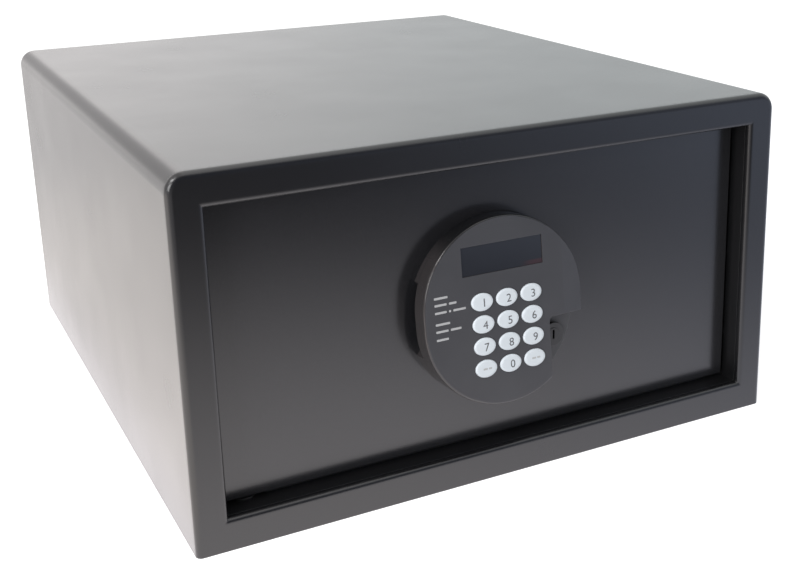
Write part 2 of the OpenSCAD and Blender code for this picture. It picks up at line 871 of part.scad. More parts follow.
module base_screws() {
    y = [screw_spare - base_screw_in, door_t];
    color("silver") behind_door() for (p = BASE_SCREWS) {
        screw(lock_x + p[0], y, lock_z + p[1], screw_d, screw_head, screw_head_t);
    }
}

module face_screws() {
    color("silver") on_face() for (p = FACE_BOSSES) translate([p[0], p[1], -cap_depth - top_plate_t]) {
        translate([0, 0, -face_screw_head_t]) cylinder(d = face_screw_head, h = face_screw_head_t);
        translate([0, 0, -tiny]) cylinder(d = face_boss_bore - 2 * tiny, h = top_plate_t + face_screw_bite);
    }
}

module display_window() {
    u = window_w / 2 - lens_fit;
    v = window_h / 2 - lens_fit;
    color("black", 0.6) on_face() translate([0, window_v, 0]) {
        block([-u, u], [-v, v], [-window_sink - lens_t, -window_sink]);
    }
}

// Four digit fields sunk in the front of a block that stands on the board
module display_module() {
    u = window_w / 2 - ledge - module_in;
    v = window_h / 2 - ledge - module_gap;
    front = -face_t - module_gap;
    color("black") on_face() translate([0, window_v, 0]) difference() {
        block([-u, u], [-v, v], [board_w[1], front]);
        for (i = [0:digits - 1]) translate([(i - (digits - 1) / 2) * digit_pitch, 0, front]) {
            block([-digit_w / 2, digit_w / 2], [-digit_h / 2, digit_h / 2], [-digit_sink, past]);
        }
    }
}

module keypad_board() {
    color("darkgreen") on_face() difference() {
        block(board_u, board_v, board_w);
        for (p = BOARD_POSTS) {
            translate([p[0], p[1], board_w[0] - past]) cylinder(d = stake_d + 2 * tiny, h = board_t + 2 * past);
        }
    }
}

// Rubber sheet: it bears on the face between the keys
module key_mat() {
    u = key_pitch_u + key_w / 2;
    v = 1.5 * key_pitch_v + key_h / 2;
    color("whitesmoke") on_face() {
        block([pad_u - u, pad_u + u], [pad_v - v, pad_v + v], [sheet_w - sheet_t, sheet_w]);
        for (c = [0, 1], r = [0:2]) at_key(c + 0.5, r + 0.5) {
            translate([0, 0, sheet_w - tiny]) cylinder(d = sheet_post_d, h = -sheet_w - face_t + tiny);
        }
    }
}

// One key: flange and stem behind the face, and a crowned cap in front of it
module key(index) {
    column = index % 3;
    row = floor(index / 3);
    u = key_w / 2;
    v = key_h / 2;
    shoulder = key_rise - key_crown;
    back = -face_t - key_seat;
    color("whitesmoke") on_face() at_key(column, row) {
        translate([0, 0, back - key_flange_t - key_stem]) cylinder(d = key_stem_d, h = key_stem + tiny);
        key_outline(u + flange_over_u, v + flange_over_v, [back - key_flange_t, back]);
        hull() {
            key_outline(u, v, [back - tiny, shoulder]);
            key_outline(u - crown_in[0], v - crown_in[0], [shoulder, key_rise - crown_drop]);
            key_outline(u - crown_in[1], v - crown_in[1], [shoulder, key_rise]);
        }
    }
}

// Override lock

module override_barrel() {
    flange_y = [barrel_y[0], barrel_y[0] + barrel_flange];
    color("black") behind_door() difference() {
        union() {
            bar_along_y(override_x, barrel_y, override_z, barrel_d);
            bar_along_y(override_x, flange_y, override_z, barrel_d + 2 * barrel_lip);
        }
        bar_along_y(override_x, [barrel_y[0] - past, barrel_y[1] + past], override_z, plug_hole_d);
    }
}

module override_nut() {
    y = [door_t, door_t + barrel_nut_t];
    color("silver") behind_door() difference() {
        bar_along_y(override_x, y, override_z, barrel_nut_d, $fn = 6);
        bar_along_y(override_x, [y[0] - past, y[1] + past], override_z, barrel_d + 2 * lock_play);
    }
}

module override_plug() {
    y = [barrel_y[0] - plug_proud, barrel_y[1] + plug_shoulder];
    color("silver") behind_door() {
        difference() {
            bar_along_y(override_x, y, override_z, plug_d);
            block([override_x - keyway[0] / 2, override_x + keyway[0] / 2], [y[0] - past, y[0] + keyway[2]],
                [override_z - keyway[1] / 2, override_z + keyway[1] / 2]);
        }
        block([override_x - cam_square / 2, override_x + cam_square / 2], [y[1] - tiny, bar_y[1]],
            [override_z - cam_square / 2, override_z + cam_square / 2]);
    }
}

// The cam hangs down at rest; turned to the left it pushes the slide plate's hook
module override_cam() {
    arm = cam_reach - cam_w / 2;
    color("silver") behind_door() difference() {
        union() {
            bar_along_y(override_x, bar_y, override_z, plug_d);
            block([override_x - cam_w / 2, override_x + cam_w / 2], bar_y, [override_z - arm, override_z]);
            bar_along_y(override_x, bar_y, override_z - arm, cam_w);
        }
        block([override_x - cam_square / 2, override_x + cam_square / 2], [bar_y[0] - past, bar_y[1] + past],
            [override_z - cam_square / 2, override_z + cam_square / 2]);
    }
}

module cam_screw() {
    y = [bar_y[1], bar_y[1] + cam_screw_t];
    color("silver") behind_door() bar_along_y(override_x, y, override_z, cam_screw_d);
}

// Bolts and their drive

// Flat slide plate: hook for the cam, two guide slots, rack, and a flange that carries the bolts
module bolt_bar() {
    slot_w = stud_d + 2 * slot_play;
    hook_z = [override_z - plug_d, strip_z[1]];
    cut = [bar_y[0] - past, bar_y[1] + past];
    color("silver") behind_door() difference() {
        union() {
            block([hook_x[0], flange_x + bar_t], bar_y, strip_z);
            block(hook_x, bar_y, hook_z);
            block([flange_x, flange_x + bar_t], [door_t + seat_gap, bar_y[1]],
                [bolt_z[0] - bolt_d / 2, bolt_z[1] + bolt_d / 2]);
            rack_teeth();
        }
        for (x = stud_x) {
            bar_along_y(x, cut, stud_z, slot_w);
            bar_along_y(x - bolt_throw, cut, stud_z, slot_w);
            block([x - bolt_throw, x], cut, [stud_z - slot_w / 2, stud_z + slot_w / 2]);
        }
        for (z = bolt_z) {
            bar_along_x([flange_x - past, flange_x + bar_t + past], bolt_y, z, bolt_tail_d + 2 * tiny);
        }
    }
}

// Straight-sided teeth along the strip's lower edge
module rack_teeth() {
    slope = tan(pressure);
    half = tooth_pitch / 4 - backlash / 2;
    root = half + rack_dedendum * slope;
    tip = half - rack_addendum * slope;
    depth = rack_addendum + rack_dedendum;
    first = -ceil((bolt_throw + pitch_r) / tooth_pitch);
    tooth = [[-root, 0], [-tip, -depth], [tip, -depth], [root, 0], [root, 1], [-root, 1]];
    for (i = [first:1]) translate([pinion_x + (i + 0.5) * tooth_pitch, bar_y[1], strip_z[0]]) {
        rotate([90, 0, 0]) linear_extrude(height = bar_t) polygon(tooth);
    }
}

module lock_bolts() {
    tail = [flange_x - nut_t, flange_x + bar_t];
    color("silver") behind_door() for (z = bolt_z) {
        bar_along_x([tail[1], bolt_end - bolt_chamfer], bolt_y, z, bolt_d);
        bar_along_x([tail[0], tail[1] + tiny], bolt_y, z, bolt_tail_d);
        translate([bolt_end - bolt_chamfer, bolt_y, z]) rotate([0, 90, 0]) {
            cylinder(d1 = bolt_d, d2 = bolt_d - 2 * bolt_chamfer, h = bolt_chamfer);
        }
    }
}

module bolt_nuts() {
    color("silver") behind_door() for (z = bolt_z) difference() {
        translate([flange_x - nut_t, bolt_y, z]) rotate([0, 90, 0]) cylinder(d = nut_d, h = nut_t, $fn = 6);
        bar_along_x([flange_x - nut_t - past, flange_x + past], bolt_y, z, bolt_tail_d + 2 * tiny);
    }
}

module bolt_guides() {
    y = [door_t, bar_y[0] - guide_gap];
    color("ivory") behind_door() for (z = bolt_z) difference() {
        block(guide_x, y, [z - guide_h / 2, z + guide_h / 2]);
        bar_along_x([guide_x[0] - past, guide_x[1] + past], bolt_y, z, bolt_d + 2 * run_gap);
    }
}

module guide_studs() {
    color("silver") behind_door() for (x = stud_x) {
        bar_along_y(x, [door_t, bar_y[1] + slot_play + tiny], stud_z, stud_d);
        bar_along_y(x, [bar_y[1] + slot_play, bar_y[1] + slot_play + stud_head_t], stud_z, stud_head);
    }
}

// Involute pinion: half the tooth's angle at radius r, then its flanks from root to tip
base_r = pitch_r * cos(pressure);
function involute(r) = sqrt(pow(r / base_r, 2) - 1) * 180 / PI - acos(base_r / r);
function half_tooth(r) =
    90 / pinion_teeth - backlash / 4 / pitch_r * 180 / PI + involute(pitch_r) - involute(max(r, base_r));

module pinion() {
    tip_r = pitch_r + rack_addendum;
    root_r = pitch_r - rack_dedendum;
    steps = 5;
    radii = [root_r, for (i = [0:steps]) base_r + (tip_r - base_r) * i / steps];
    back = [for (i = [len(radii) - 1:-1:0]) radii[i]];
    outline = [for (t = [0:pinion_teeth - 1]) each concat(
        [for (r = radii) let (a = 90 + t * 360 / pinion_teeth - half_tooth(r)) r * [cos(a), sin(a)]],
        [for (r = back) let (a = 90 + t * 360 / pinion_teeth + half_tooth(r)) r * [cos(a), sin(a)]])];
    color("goldenrod") behind_door() {
        translate([pinion_x, bar_y[1], pinion_z]) rotate([90, 0, 0]) {
            linear_extrude(height = bar_t) polygon(outline);
        }
        bar_along_y(pinion_x, [bar_y[0] - shaft_in, bar_y[1] + shaft_out], pinion_z, shaft_d);
    }
}

module gear_motor() {
    axis_y = (gearbox_y[0] + gearbox_y[1]) / 2;
    axis_z = pinion_z - motor_drop;
    can_d = gearbox_y[1] - gearbox_y[0] - 2 * motor_slack;
    can_x = [gearbox_x[0] - motor_len, gearbox_x[0] + past];
    ear_y = [gearbox_y[0], gearbox_y[0] + ear_t];
    bore_y = [bar_y[0] - shaft_in - shaft_end_gap, gearbox_y[1] + past];
    color("gray") behind_door() difference() {
        union() {
            round_plate(gearbox_x, gearbox_y, gearbox_z, gearbox_r);
            bar_along_x(can_x, axis_y, axis_z, can_d);
            bar_along_x([can_x[0] - motor_end, can_x[1]], axis_y, axis_z, motor_end_d);
            for (x = ear_x) block([x - ear / 2, x + ear / 2], ear_y, [ear_z - ear / 2, gearbox_z[0] + past]);
        }
        bar_along_y(pinion_x, bore_y, pinion_z, shaft_d + 2 * run_gap);
        for (x = ear_x) bar_along_y(x, [ear_y[0] - past, ear_y[1] + past], ear_z, ear_screw_d + 2 * tiny);
    }
}

// A plate welded to the door, turned up at the end that takes the thrust of the rack
module motor_bracket() {
    y = [door_t, door_t + pan_t];
    upright_x = [gearbox_x[1] + slide_gap, gearbox_x[1] + slide_gap + pan_t];
    color("silver") behind_door() difference() {
        union() {
            block(gearbox_x, y, [ear_z - ear / 2 - bracket_lip, gearbox_z[1]]);
            block([gearbox_x[1] - past, upright_x[1]], y, gearbox_z);
            block(upright_x, [y[0], gearbox_y[1]], gearbox_z);
        }
        for (x = ear_x) bar_along_y(x, [y[0] - past, y[1] + past], ear_z, ear_screw_d + 2 * tiny);
    }
}

module motor_screws() {
    y = [door_t + screw_tip_gap, gearbox_y[0] + ear_t];
    color("silver") behind_door() for (x = ear_x) {
        screw(x, y, ear_z, ear_screw_d, ear_screw_head, ear_screw_head_t);
    }
}

// Power and control

// Places of the cells' axes
module at_cells() {
    for (i = [0:cells - 1]) translate([tray_x[0] + tray_wall + (i + 0.5) * cell_pitch, 0, 0]) children();
}

module battery_tray() {
    z_in = [tray_z[0] + tray_wall, tray_z[1] - tray_wall];
    d = cell_d + 2 * cell_room;
    color("black") behind_door() difference() {
        union() {
            block(tray_x, tray_y, tray_z);
            block([tray_x[0] - tray_flange, tray_x[1] + tray_flange], [cover_y[0] - tray_wall, cover_y[0]],
                [tray_z[0] - tray_flange, tray_z[1] + tray_flange]);
        }
        at_cells() {
            bar_along_z(0, cell_y, z_in, d);
            block([-d / 2, d / 2], [cell_y, tray_y[1] + past], z_in);
        }
    }
}

// Sprung contact strips at both ends of each cell
module battery_contacts() {
    spring_l = contact_room - contact_gap - contact_z[1];
    color("silver") behind_door() for (s = [-1, 1]) {
        z = s < 0 ? tray_z[0] + tray_wall : tray_z[1] - tray_wall;
        at_cells() translate([0, cell_y, z]) mirror([0, 0, s < 0 ? 0 : 1]) {
            block([-contact_w / 2, contact_w / 2], [-contact_w / 2, contact_w / 2], contact_z);
            translate([0, 0, contact_z[1] - tiny]) cylinder(d1 = contact_d[0], d2 = contact_d[1], h = spring_l);
        }
    }
}

module batteries() {
    shoulder = cell_l / 2 - cell_cap;
    color("steelblue") behind_door() for (i = [0:cells - 1]) {
        x = tray_x[0] + tray_wall + (i + 0.5) * cell_pitch;
        translate([x, cell_y, door_mid]) mirror([0, 0, i % 2]) {
            bar_along_z(0, 0, [-cell_l / 2, shoulder], cell_d);
            bar_along_z(0, 0, [shoulder - tiny, cell_l / 2], cell_cap_d);
        }
    }
}

module battery_cover() {
    x = [tray_x[0] - lid_end, tray_x[1] + lid_end];
    y = [cover_y[1] + lid_lift, cover_y[1] + lid_lift + lid_t];
    z = [tray_z[0] - lid_over, tray_z[1] + lid_over];
    ridge_z = [door_mid - ridge_len / 2, door_mid + ridge_len / 2];
    color("black") behind_door() difference() {
        union() {
            block(x, y, z);
            for (i = [0:ridges - 1]) translate([x[1] - ridge_in - i * ridge_pitch, 0, 0]) {
                block([-ridge_w, 0], [y[1] - tiny, y[1] + ridge_h], ridge_z);
            }
        }
        translate([x[0], 0, door_mid]) {
            block([-past, pull[0]], [y[1] - pull[1], y[1] + past], [-pull[2] / 2, pull[2] / 2]);
        }
    }
}

// Board with its processor, its plug socket, a capacitor and the switch under the reset button
module control_board() {
    front = control_y[1] - tiny;
    color("darkgreen") behind_door() difference() {
        union() {
            block(board_x, control_y, control_z);
            translate([board_x[0], 0, control_z[0]]) {
                block([chip[0], chip[0] + chip[2]], [front, control_y[1] + chip[3]],
                    [chip[1], chip[1] + chip[2]]);
                block([socket[0], socket[0] + socket[2]], [front, control_y[1] + socket[4]],
                    [socket[1], socket[1] + socket[3]]);
                bar_along_y(capacitor[0], [front, control_y[1] + capacitor[3]], capacitor[1], capacitor[2]);
            }
            block([button_x - switch_w / 2, button_x + switch_w / 2], [front, control_y[1] + switch_h],
                [button_z - switch_w / 2, button_z + switch_w / 2]);
        }
        at_board_holes() bar_along_y(0, [control_y[0] - past, control_y[1] + past], 0, board_hole_d);
    }
}

module at_board_holes() {
    low = control_z[0] + board_hole_in;
    high = control_z[1] - board_hole_in;
    for (x = [board_x[0] + board_hole_in, board_x[1] - board_hole_in]) {
        for (z = [low, high]) translate([x, 0, z]) children();
    }
}

// Welded studs that carry the control board
module door_studs() {
    color("silver") behind_door() at_board_holes() {
        bar_along_y(0, [door_t, control_y[0]], 0, board_stud_d);
        bar_along_y(0, [control_y[0] - tiny, control_y[1] + board_stud_tip], 0, board_hole_d - 2 * tiny);
    }
}

module reset_button() {
    y = [control_y[1] + switch_h + button_travel + slide_gap, cover_y[1] + button_rise];
    flange_y = [cover_y[0] - button_flange_t - slide_gap, cover_y[0] - slide_gap];
    color("firebrick") behind_door() {
        bar_along_y(button_x, y, button_z, button_d);
        bar_along_y(button_x, flange_y, button_z, button_d + 2 * button_flange);
    }
}

outer_shell();
base_plate();
back_panel();
front_frame();
door_jamb();
hinge_plates();
hinge_bushes();
keeper_plate();
floor_mat();
door_plate();
hinge_lugs();
hinge_pins();
door_pan();
rear_cover();
cover_screws();
lock_base();
lock_face();
base_screws();
face_screws();
display_window();
display_module();
keypad_board();
key_mat();
override_barrel();
override_nut();
battery_tray();
battery_contacts();
batteries();
control_board();
door_studs();
gear_motor();
motor_bracket();
motor_screws();
bolt_guides();
guide_studs();
bolt_bar();
lock_bolts();
bolt_nuts();
pinion();
override_plug();
override_cam();
cam_screw();
reset_button();
battery_cover();
for (i = [0:11]) key(i);
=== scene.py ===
# %% [markdown]
# A hotel room safe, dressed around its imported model. Every solid is already in its true place and size,
# so this lesson adds what the eye needs: powder coat, moulded plastic, printed keys, plated steel, felt
# and a soft studio. Nothing here moves or resizes a solid.

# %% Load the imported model
import json
import math

import bmesh
import bpy
from mathutils import Matrix, Vector


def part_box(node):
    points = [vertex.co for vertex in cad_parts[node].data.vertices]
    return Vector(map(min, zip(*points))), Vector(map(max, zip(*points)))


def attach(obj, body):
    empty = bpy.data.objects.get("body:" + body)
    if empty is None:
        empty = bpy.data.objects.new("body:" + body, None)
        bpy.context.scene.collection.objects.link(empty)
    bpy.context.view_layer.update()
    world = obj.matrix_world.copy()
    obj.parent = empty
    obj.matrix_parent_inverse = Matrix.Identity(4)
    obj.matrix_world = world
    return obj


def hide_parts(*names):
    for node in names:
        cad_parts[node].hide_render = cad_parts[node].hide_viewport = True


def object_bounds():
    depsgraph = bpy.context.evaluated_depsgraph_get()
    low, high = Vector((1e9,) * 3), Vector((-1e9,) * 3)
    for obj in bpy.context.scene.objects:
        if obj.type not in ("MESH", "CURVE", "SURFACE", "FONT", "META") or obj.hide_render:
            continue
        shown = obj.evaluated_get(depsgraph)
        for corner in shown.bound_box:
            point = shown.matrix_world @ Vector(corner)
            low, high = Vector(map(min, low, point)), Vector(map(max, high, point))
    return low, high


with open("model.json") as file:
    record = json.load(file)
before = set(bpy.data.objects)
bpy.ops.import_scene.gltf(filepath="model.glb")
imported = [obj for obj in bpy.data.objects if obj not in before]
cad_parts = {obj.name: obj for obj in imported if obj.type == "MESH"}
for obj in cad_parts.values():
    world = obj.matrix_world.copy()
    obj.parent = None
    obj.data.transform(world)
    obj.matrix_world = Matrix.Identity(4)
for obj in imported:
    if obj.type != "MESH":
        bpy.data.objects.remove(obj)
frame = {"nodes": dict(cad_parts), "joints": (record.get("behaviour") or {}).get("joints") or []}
cad_low, cad_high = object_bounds()
MM = 0.001
MICRON = 0.001 * MM
print("nodes", len(frame["nodes"]), "size in mm", [round(s / MM, 1) for s in cad_high - cad_low])

# %% [markdown]
# The camera comes first, because every later choice is judged through it. Its place and its angles come
# from the safe's straight edges: a box of known size has only one camera that draws its corners where
# the photograph has them. The picture was cropped off its middle, so the lens has a small shift.

# %% Camera
PICTURE_W, PICTURE_H = 796, 580
SENSOR_W = 36.0
FOCAL_PIXELS = 1233.0
SQUARE_ON_PIXEL = (475, 200)
CAMERA_PLACE = Vector((-0.3601, -0.8751, 0.3987))
CAMERA_TURN = math.radians(-27.93)
CAMERA_LIFT = math.radians(16.17)
CAMERA_ROLL = math.radians(-0.92)
NEAREST_SEEN = 0.05


def camera_matrix(place, turn, lift, roll):
    """Turn goes round the safe from its front, lift is the height angle and roll tips the picture."""
    back = Vector((math.sin(turn) * math.cos(lift), -math.cos(turn) * math.cos(lift), math.sin(lift)))
    level = Vector((0, 0, 1)).cross(back).normalized()
    upright = back.cross(level)
    right = math.cos(roll) * level + math.sin(roll) * upright
    up = math.cos(roll) * upright - math.sin(roll) * level
    return Matrix.Translation(place) @ Matrix((right, up, back)).transposed().to_4x4()


camera = bpy.data.objects.new("camera", bpy.data.cameras.new("camera"))
bpy.context.scene.collection.objects.link(camera)
camera.matrix_world = camera_matrix(CAMERA_PLACE, CAMERA_TURN, CAMERA_LIFT, CAMERA_ROLL)
camera.data.sensor_width = SENSOR_W
camera.data.lens = FOCAL_PIXELS / PICTURE_W * SENSOR_W
camera.data.shift_x = (PICTURE_W / 2 - SQUARE_ON_PIXEL[0]) / PICTURE_W
camera.data.shift_y = (SQUARE_ON_PIXEL[1] - PICTURE_H / 2) / PICTURE_W
camera.data.clip_start = NEAREST_SEEN
bpy.context.scene.camera = camera
bpy.context.scene.view_settings.view_transform = "Standard"
shift = camera.data.shift_x, camera.data.shift_y
print("lens", round(camera.data.lens, 2), "mm, shift", [round(share, 3) for share in shift])

# %% [markdown]
# A material is a small program drawn as boxes and wires. Written as Python it stays readable if a wire
# can be added and multiplied like a number. This class wraps one socket: arithmetic on it adds Math
# nodes, and node() adds any other kind of node, with its settings first and its sockets after.


# %% Wires that do arithmetic
def pick(sockets, key):
    """A socket by its number, or the one in use that has this name."""
    if isinstance(key, int):
        return sockets[key]
    return next(s for s in sockets if s.enabled and s.name == key)


class Wire:
    """One output in a node tree; with no socket it only starts new nodes in that tree."""

    def __init__(self, tree, socket=None):
        self.tree = tree
        self.socket = socket

    def node(self, kind, settings=None, inputs=None):
        made = self.tree.nodes.new(kind)
        for name, value in (settings or {}).items():
            setattr(made, name, value)
        for name, value in (inputs or {}).items():
            if isinstance(value, Wire):
                self.tree.links.new(value.socket, pick(made.inputs, name))
            else:
                pick(made.inputs, name).default_value = value
        return Wire(self.tree, next((s for s in made.outputs if s.enabled), None))

    def out(self, name):
        return Wire(self.tree, pick(self.socket.node.outputs, name))

    def math(self, operation, *values):
        return self.node("ShaderNodeMath", {"operation": operation}, dict(enumerate(values)))

    def __add__(self, other):
        return self.math("ADD", self, other)

    def __radd__(self, other):
        return self.math("ADD", other, self)

    def __sub__(self, other):
        return self.math("SUBTRACT", self, other)

    def __rsub__(self, other):
        return self.math("SUBTRACT", other, self)

    def __mul__(self, other):
        return self.math("MULTIPLY", self, other)

    def __rmul__(self, other):
        return self.math("MULTIPLY", other, self)

    def __abs__(self):
        return self.math("ABSOLUTE", self)

    def step(self, low, high):
        """0 below low, 1 above high, and a soft curve between; low may be the larger."""
        sockets = {"Value": self, "From Min": low, "From Max": high}
        return self.node("ShaderNodeMapRange", {"interpolation_type": "SMOOTHSTEP"}, sockets)


print("wires ready")

# %% [markdown]
# Patterns are tied to the Object coordinates. A node's object stands at the origin, so these are real
# metres on the safe, and a scale of 700 means about 700 grains to the metre wherever it is used. Noise
# lies around one half: step() on it picks how much of the surface a pattern covers, and a name in RANGE
# holds the two values between which it sets in. swing() turns noise into a little more here and a little
# less there. Heights of a relief are in microns.


# %% Patterns and colours
NOISE_MIDDLE = 0.5
BEVEL_SAMPLES = 6
EDGE_TURN = 0.01, 0.2


def tint(red, green, blue):
    return (red, green, blue, 1.0)


def place_on_safe(wire):
    return wire.node("ShaderNodeTexCoord").out("Object")


def parts_of(vector):
    split = vector.node("ShaderNodeSeparateXYZ", {}, {"Vector": vector})
    return split.out("X"), split.out("Y"), split.out("Z")


def grain(place, scale, detail=2, stretch=(1, 1, 1)):
    """Soft noise around one half, with stretch to draw it out along an axis."""
    stretched = place.node("ShaderNodeVectorMath", {"operation": "MULTIPLY"}, {0: place, 1: stretch})
    return place.node("ShaderNodeTexNoise", {}, {"Vector": stretched, "Scale": scale, "Detail": detail})


def swing(noise, amount):
    """Noise moved to lie around zero."""
    return (noise - NOISE_MIDDLE) * amount


def blend(amount, low, high):
    return amount.node("ShaderNodeMix", {"data_type": "RGBA"}, {"Factor": amount, "A": low, "B": high})


def along_direction(vector, direction):
    """How far a vector reaches along a direction."""
    product = vector.node("ShaderNodeVectorMath", {"operation": "DOT_PRODUCT"}, {0: vector, 1: direction})
    return product.out("Value")


def soft_edges(wire, radius):
    """The normal as if every sharp edge were broken to this radius."""
    return wire.node("ShaderNodeBevel", {"samples": BEVEL_SAMPLES}, {"Radius": radius})


def edge_mask(wire, normal):
    """1 on a broken edge and 0 on the flat."""
    flat = wire.node("ShaderNodeNewGeometry").out("Normal")
    return (1 - along_direction(normal, flat)).step(*EDGE_TURN)


def relief(height, normal=None):
    """A bump whose height is in metres."""
    sockets = {"Height": height, "Distance": 1.0}
    if normal:
        sockets["Normal"] = normal
    return height.node("ShaderNodeBump", {}, sockets)


def start_material(name):
    material = bpy.data.materials.new(name)
    material.use_nodes = True
    material.node_tree.nodes.clear()
    return material, Wire(material.node_tree)


def end_material(material, wire, sockets):
    surface = wire.node("ShaderNodeBsdfPrincipled", {}, sockets)
    wire.node("ShaderNodeOutputMaterial", {}, {"Surface": surface})
    return material


print("patterns ready")

# %% [markdown]
# The studio is a pale floor under a pale sky, and the camera sees both as plain white. What the black
# paint mirrors is another matter: in the photograph there are bright walls behind the safe and a dark room
# in front of it, which is why its side and top are pale grey while its front stays nearly black. Only
# glossy rays meet these walls. They are brighter high up and to the left, and a dim alcove at their left
# end shows as the dark band along the safe's rounded long edge.

# %% World
# A pair says between which two parts of a ray's direction a change lies.
SKY = tint(0.45, 0.45, 0.45)
WALLS_LOW = tint(1.6, 1.55, 1.54), tint(1.01, 1.06, 1.07)
WALLS_HIGH = tint(1.98, 1.92, 1.91), tint(1.25, 1.31, 1.33)
WALLS_TO_RIGHT = 0.05, 0.55
WALLS_UP = 0.08, 0.3
ALCOVE = tint(0.1, 0.1, 0.12)
ALCOVE_SHADE = 0.45
ALCOVE_TO_LEFT = 0.08, -0.08
ALCOVE_UP = 0.0, 0.12
DARK_ROOM = tint(0.1, 0.11, 0.15), tint(0.5, 0.55, 0.7)
ROOM_TO_RIGHT = 0.1, 0.9
ROOM_TO_WALLS = -0.35, 0.35
UP_SHARE = 0.8
world = bpy.data.worlds.new("studio")
world.use_nodes = True
world.node_tree.nodes.clear()
bpy.context.scene.world = world
air = Wire(world.node_tree)
ray = air.node("ShaderNodeLightPath")
rightward, towards_back, upward = parts_of(air.node("ShaderNodeTexCoord").out("Generated"))
to_right = rightward.step(*WALLS_TO_RIGHT)
walls = blend(upward.step(*WALLS_UP), blend(to_right, *WALLS_LOW), blend(to_right, *WALLS_HIGH))
alcove = rightward.step(*ALCOVE_TO_LEFT) * upward.step(*ALCOVE_UP)
walls = blend(alcove * ALCOVE_SHADE, walls, ALCOVE)
dark_room = blend(rightward.step(*ROOM_TO_RIGHT), *DARK_ROOM)
mirrored = blend((towards_back + upward * UP_SHARE).step(*ROOM_TO_WALLS), dark_room, walls)
lighting = blend(ray.out("Is Glossy Ray"), SKY, mirrored)
seen = ray.out("Is Camera Ray") + ray.out("Is Transmission Ray")
background = air.node("ShaderNodeBackground", {}, {"Color": blend(seen, lighting, tint(1, 1, 1))})
air.node("ShaderNodeOutputWorld", {}, {"Surface": background})
print("sky", SKY[:3])

# %% [markdown]
# The floor is one large sheet. It takes the safe's shadow as a pale matt floor does, and glows a little so
# that it reads as white. In the paint it is a table top. In front of the safe the table is bright and
# falls off into the dark room; beside it, on the left, it grows brighter towards the front, with a shade
# at the safe's foot and another where the table ends. A glossy ray sees that, any other ray the floor.

# %% Floor
# A pair says between which two places on the floor a change lies, in metres.
FLOOR_HALF = 4.0
FLOOR_CELLS = 8
FLOOR_PALE = 0.8
FLOOR_GLOW = 0.75
TABLE_LEFT = tint(2.17, 2.07, 2.1)
TABLE_RIGHT = tint(1.03, 1.08, 1.29)
TABLE_ACROSS = -0.25, 0.5
ROOM_LEFT = tint(0.05, 0.05, 0.06)
ROOM_RIGHT = tint(0.75, 0.85, 1.1)
ROOM_ACROSS = 0.1, 0.9
ROOM_TO_TABLE = -0.96, -0.16
BESIDE_BACK = tint(1.36, 1.32, 1.31)
BESIDE_MIDDLE = tint(1.64, 1.56, 1.51)
BESIDE_FRONT = tint(2.3, 2.16, 2.09)
MIDDLE_TO_BACK = 0.3, 0.9
MIDDLE_TO_FRONT = 0.3, -0.25
CORNER_SHADE = tint(0.65, 0.63, 0.66)
FRONT_TO_CORNER = -0.35, -0.75
FOOT_SHADE = 0.14
FOOT_ACROSS = -0.27, -0.225
FOOT_FRONT = -0.1, 0.02
FOOT_BACK = 0.28, 0.14
FRONT_TO_BESIDE = -0.2, -0.25


def new_piece(name, mesh_edit, materials=()):
    """A finished mesh object at the origin: mesh_edit fills and returns its bmesh."""
    shape = mesh_edit()
    mesh = bpy.data.meshes.new(name)
    shape.to_mesh(mesh)
    shape.free()
    piece = bpy.data.objects.new(name, mesh)
    bpy.context.scene.collection.objects.link(piece)
    for material in materials:
        mesh.materials.append(material)
    return piece


def floor_shape():
    shape = bmesh.new()
    bmesh.ops.create_grid(shape, x_segments=FLOOR_CELLS, y_segments=FLOOR_CELLS, size=FLOOR_HALF)
    return shape


def table_in_paint(across, along):
    table = blend(across.step(*TABLE_ACROSS), TABLE_LEFT, TABLE_RIGHT)
    room = blend(across.step(*ROOM_ACROSS), ROOM_LEFT, ROOM_RIGHT)
    front = blend(along.step(*ROOM_TO_TABLE), room, table)
    beside = blend(along.step(*MIDDLE_TO_BACK), BESIDE_MIDDLE, BESIDE_BACK)
    beside = blend(along.step(*MIDDLE_TO_FRONT), beside, BESIDE_FRONT)
    beside = blend(along.step(*FRONT_TO_CORNER), beside, CORNER_SHADE)
    foot = across.step(*FOOT_ACROSS) * along.step(*FOOT_FRONT) * along.step(*FOOT_BACK)
    beside = blend(foot * FOOT_SHADE, beside, tint(0, 0, 0))
    return blend(across.step(*FRONT_TO_BESIDE), front, beside)


def floor_finish():
    material, wire = start_material("pale_floor")
    across, along, _ = parts_of(place_on_safe(wire))
    path = wire.node("ShaderNodeLightPath")
    pale = wire.node("ShaderNodeBsdfDiffuse", {}, {"Color": tint(FLOOR_PALE, FLOOR_PALE, FLOOR_PALE)})
    glow = blend(path.out("Is Camera Ray"), tint(0, 0, 0), tint(FLOOR_GLOW, FLOOR_GLOW, FLOOR_GLOW))
    glowing = wire.node("ShaderNodeEmission", {}, {"Color": glow})
    seen = wire.node("ShaderNodeAddShader", {}, {0: pale, 1: glowing})
    shine = wire.node("ShaderNodeEmission", {}, {"Color": table_in_paint(across, along)})
    both = wire.node("ShaderNodeMixShader", {}, {0: path.out("Is Glossy Ray"), 1: seen, 2: shine})
    wire.node("ShaderNodeOutputMaterial", {}, {"Surface": both})
    return material


floor = new_piece("floor", floor_shape, [floor_finish()])
print("floor", 2 * FLOOR_HALF, "m square")

# %% [markdown]
# Two soft lamps do the rest. A strip stands high on the left: it gives the bright glint on the frame's
# corner and the thin light line on the housing's rim. A larger one stands lower on the left, like a
# window, so that raised shapes shade their right sides. Their power is low, so that a colour renders
# about as it is written.

# %% Lamps
LAMPS = {
    "high_left": ((-1.5, -0.7, 1.7), (1.1, 0.35), 17),
    "left_window": ((-2.0, -1.4, 0.8), (1.0, 1.0), 26),
}
AIM = (cad_low + cad_high) / 2


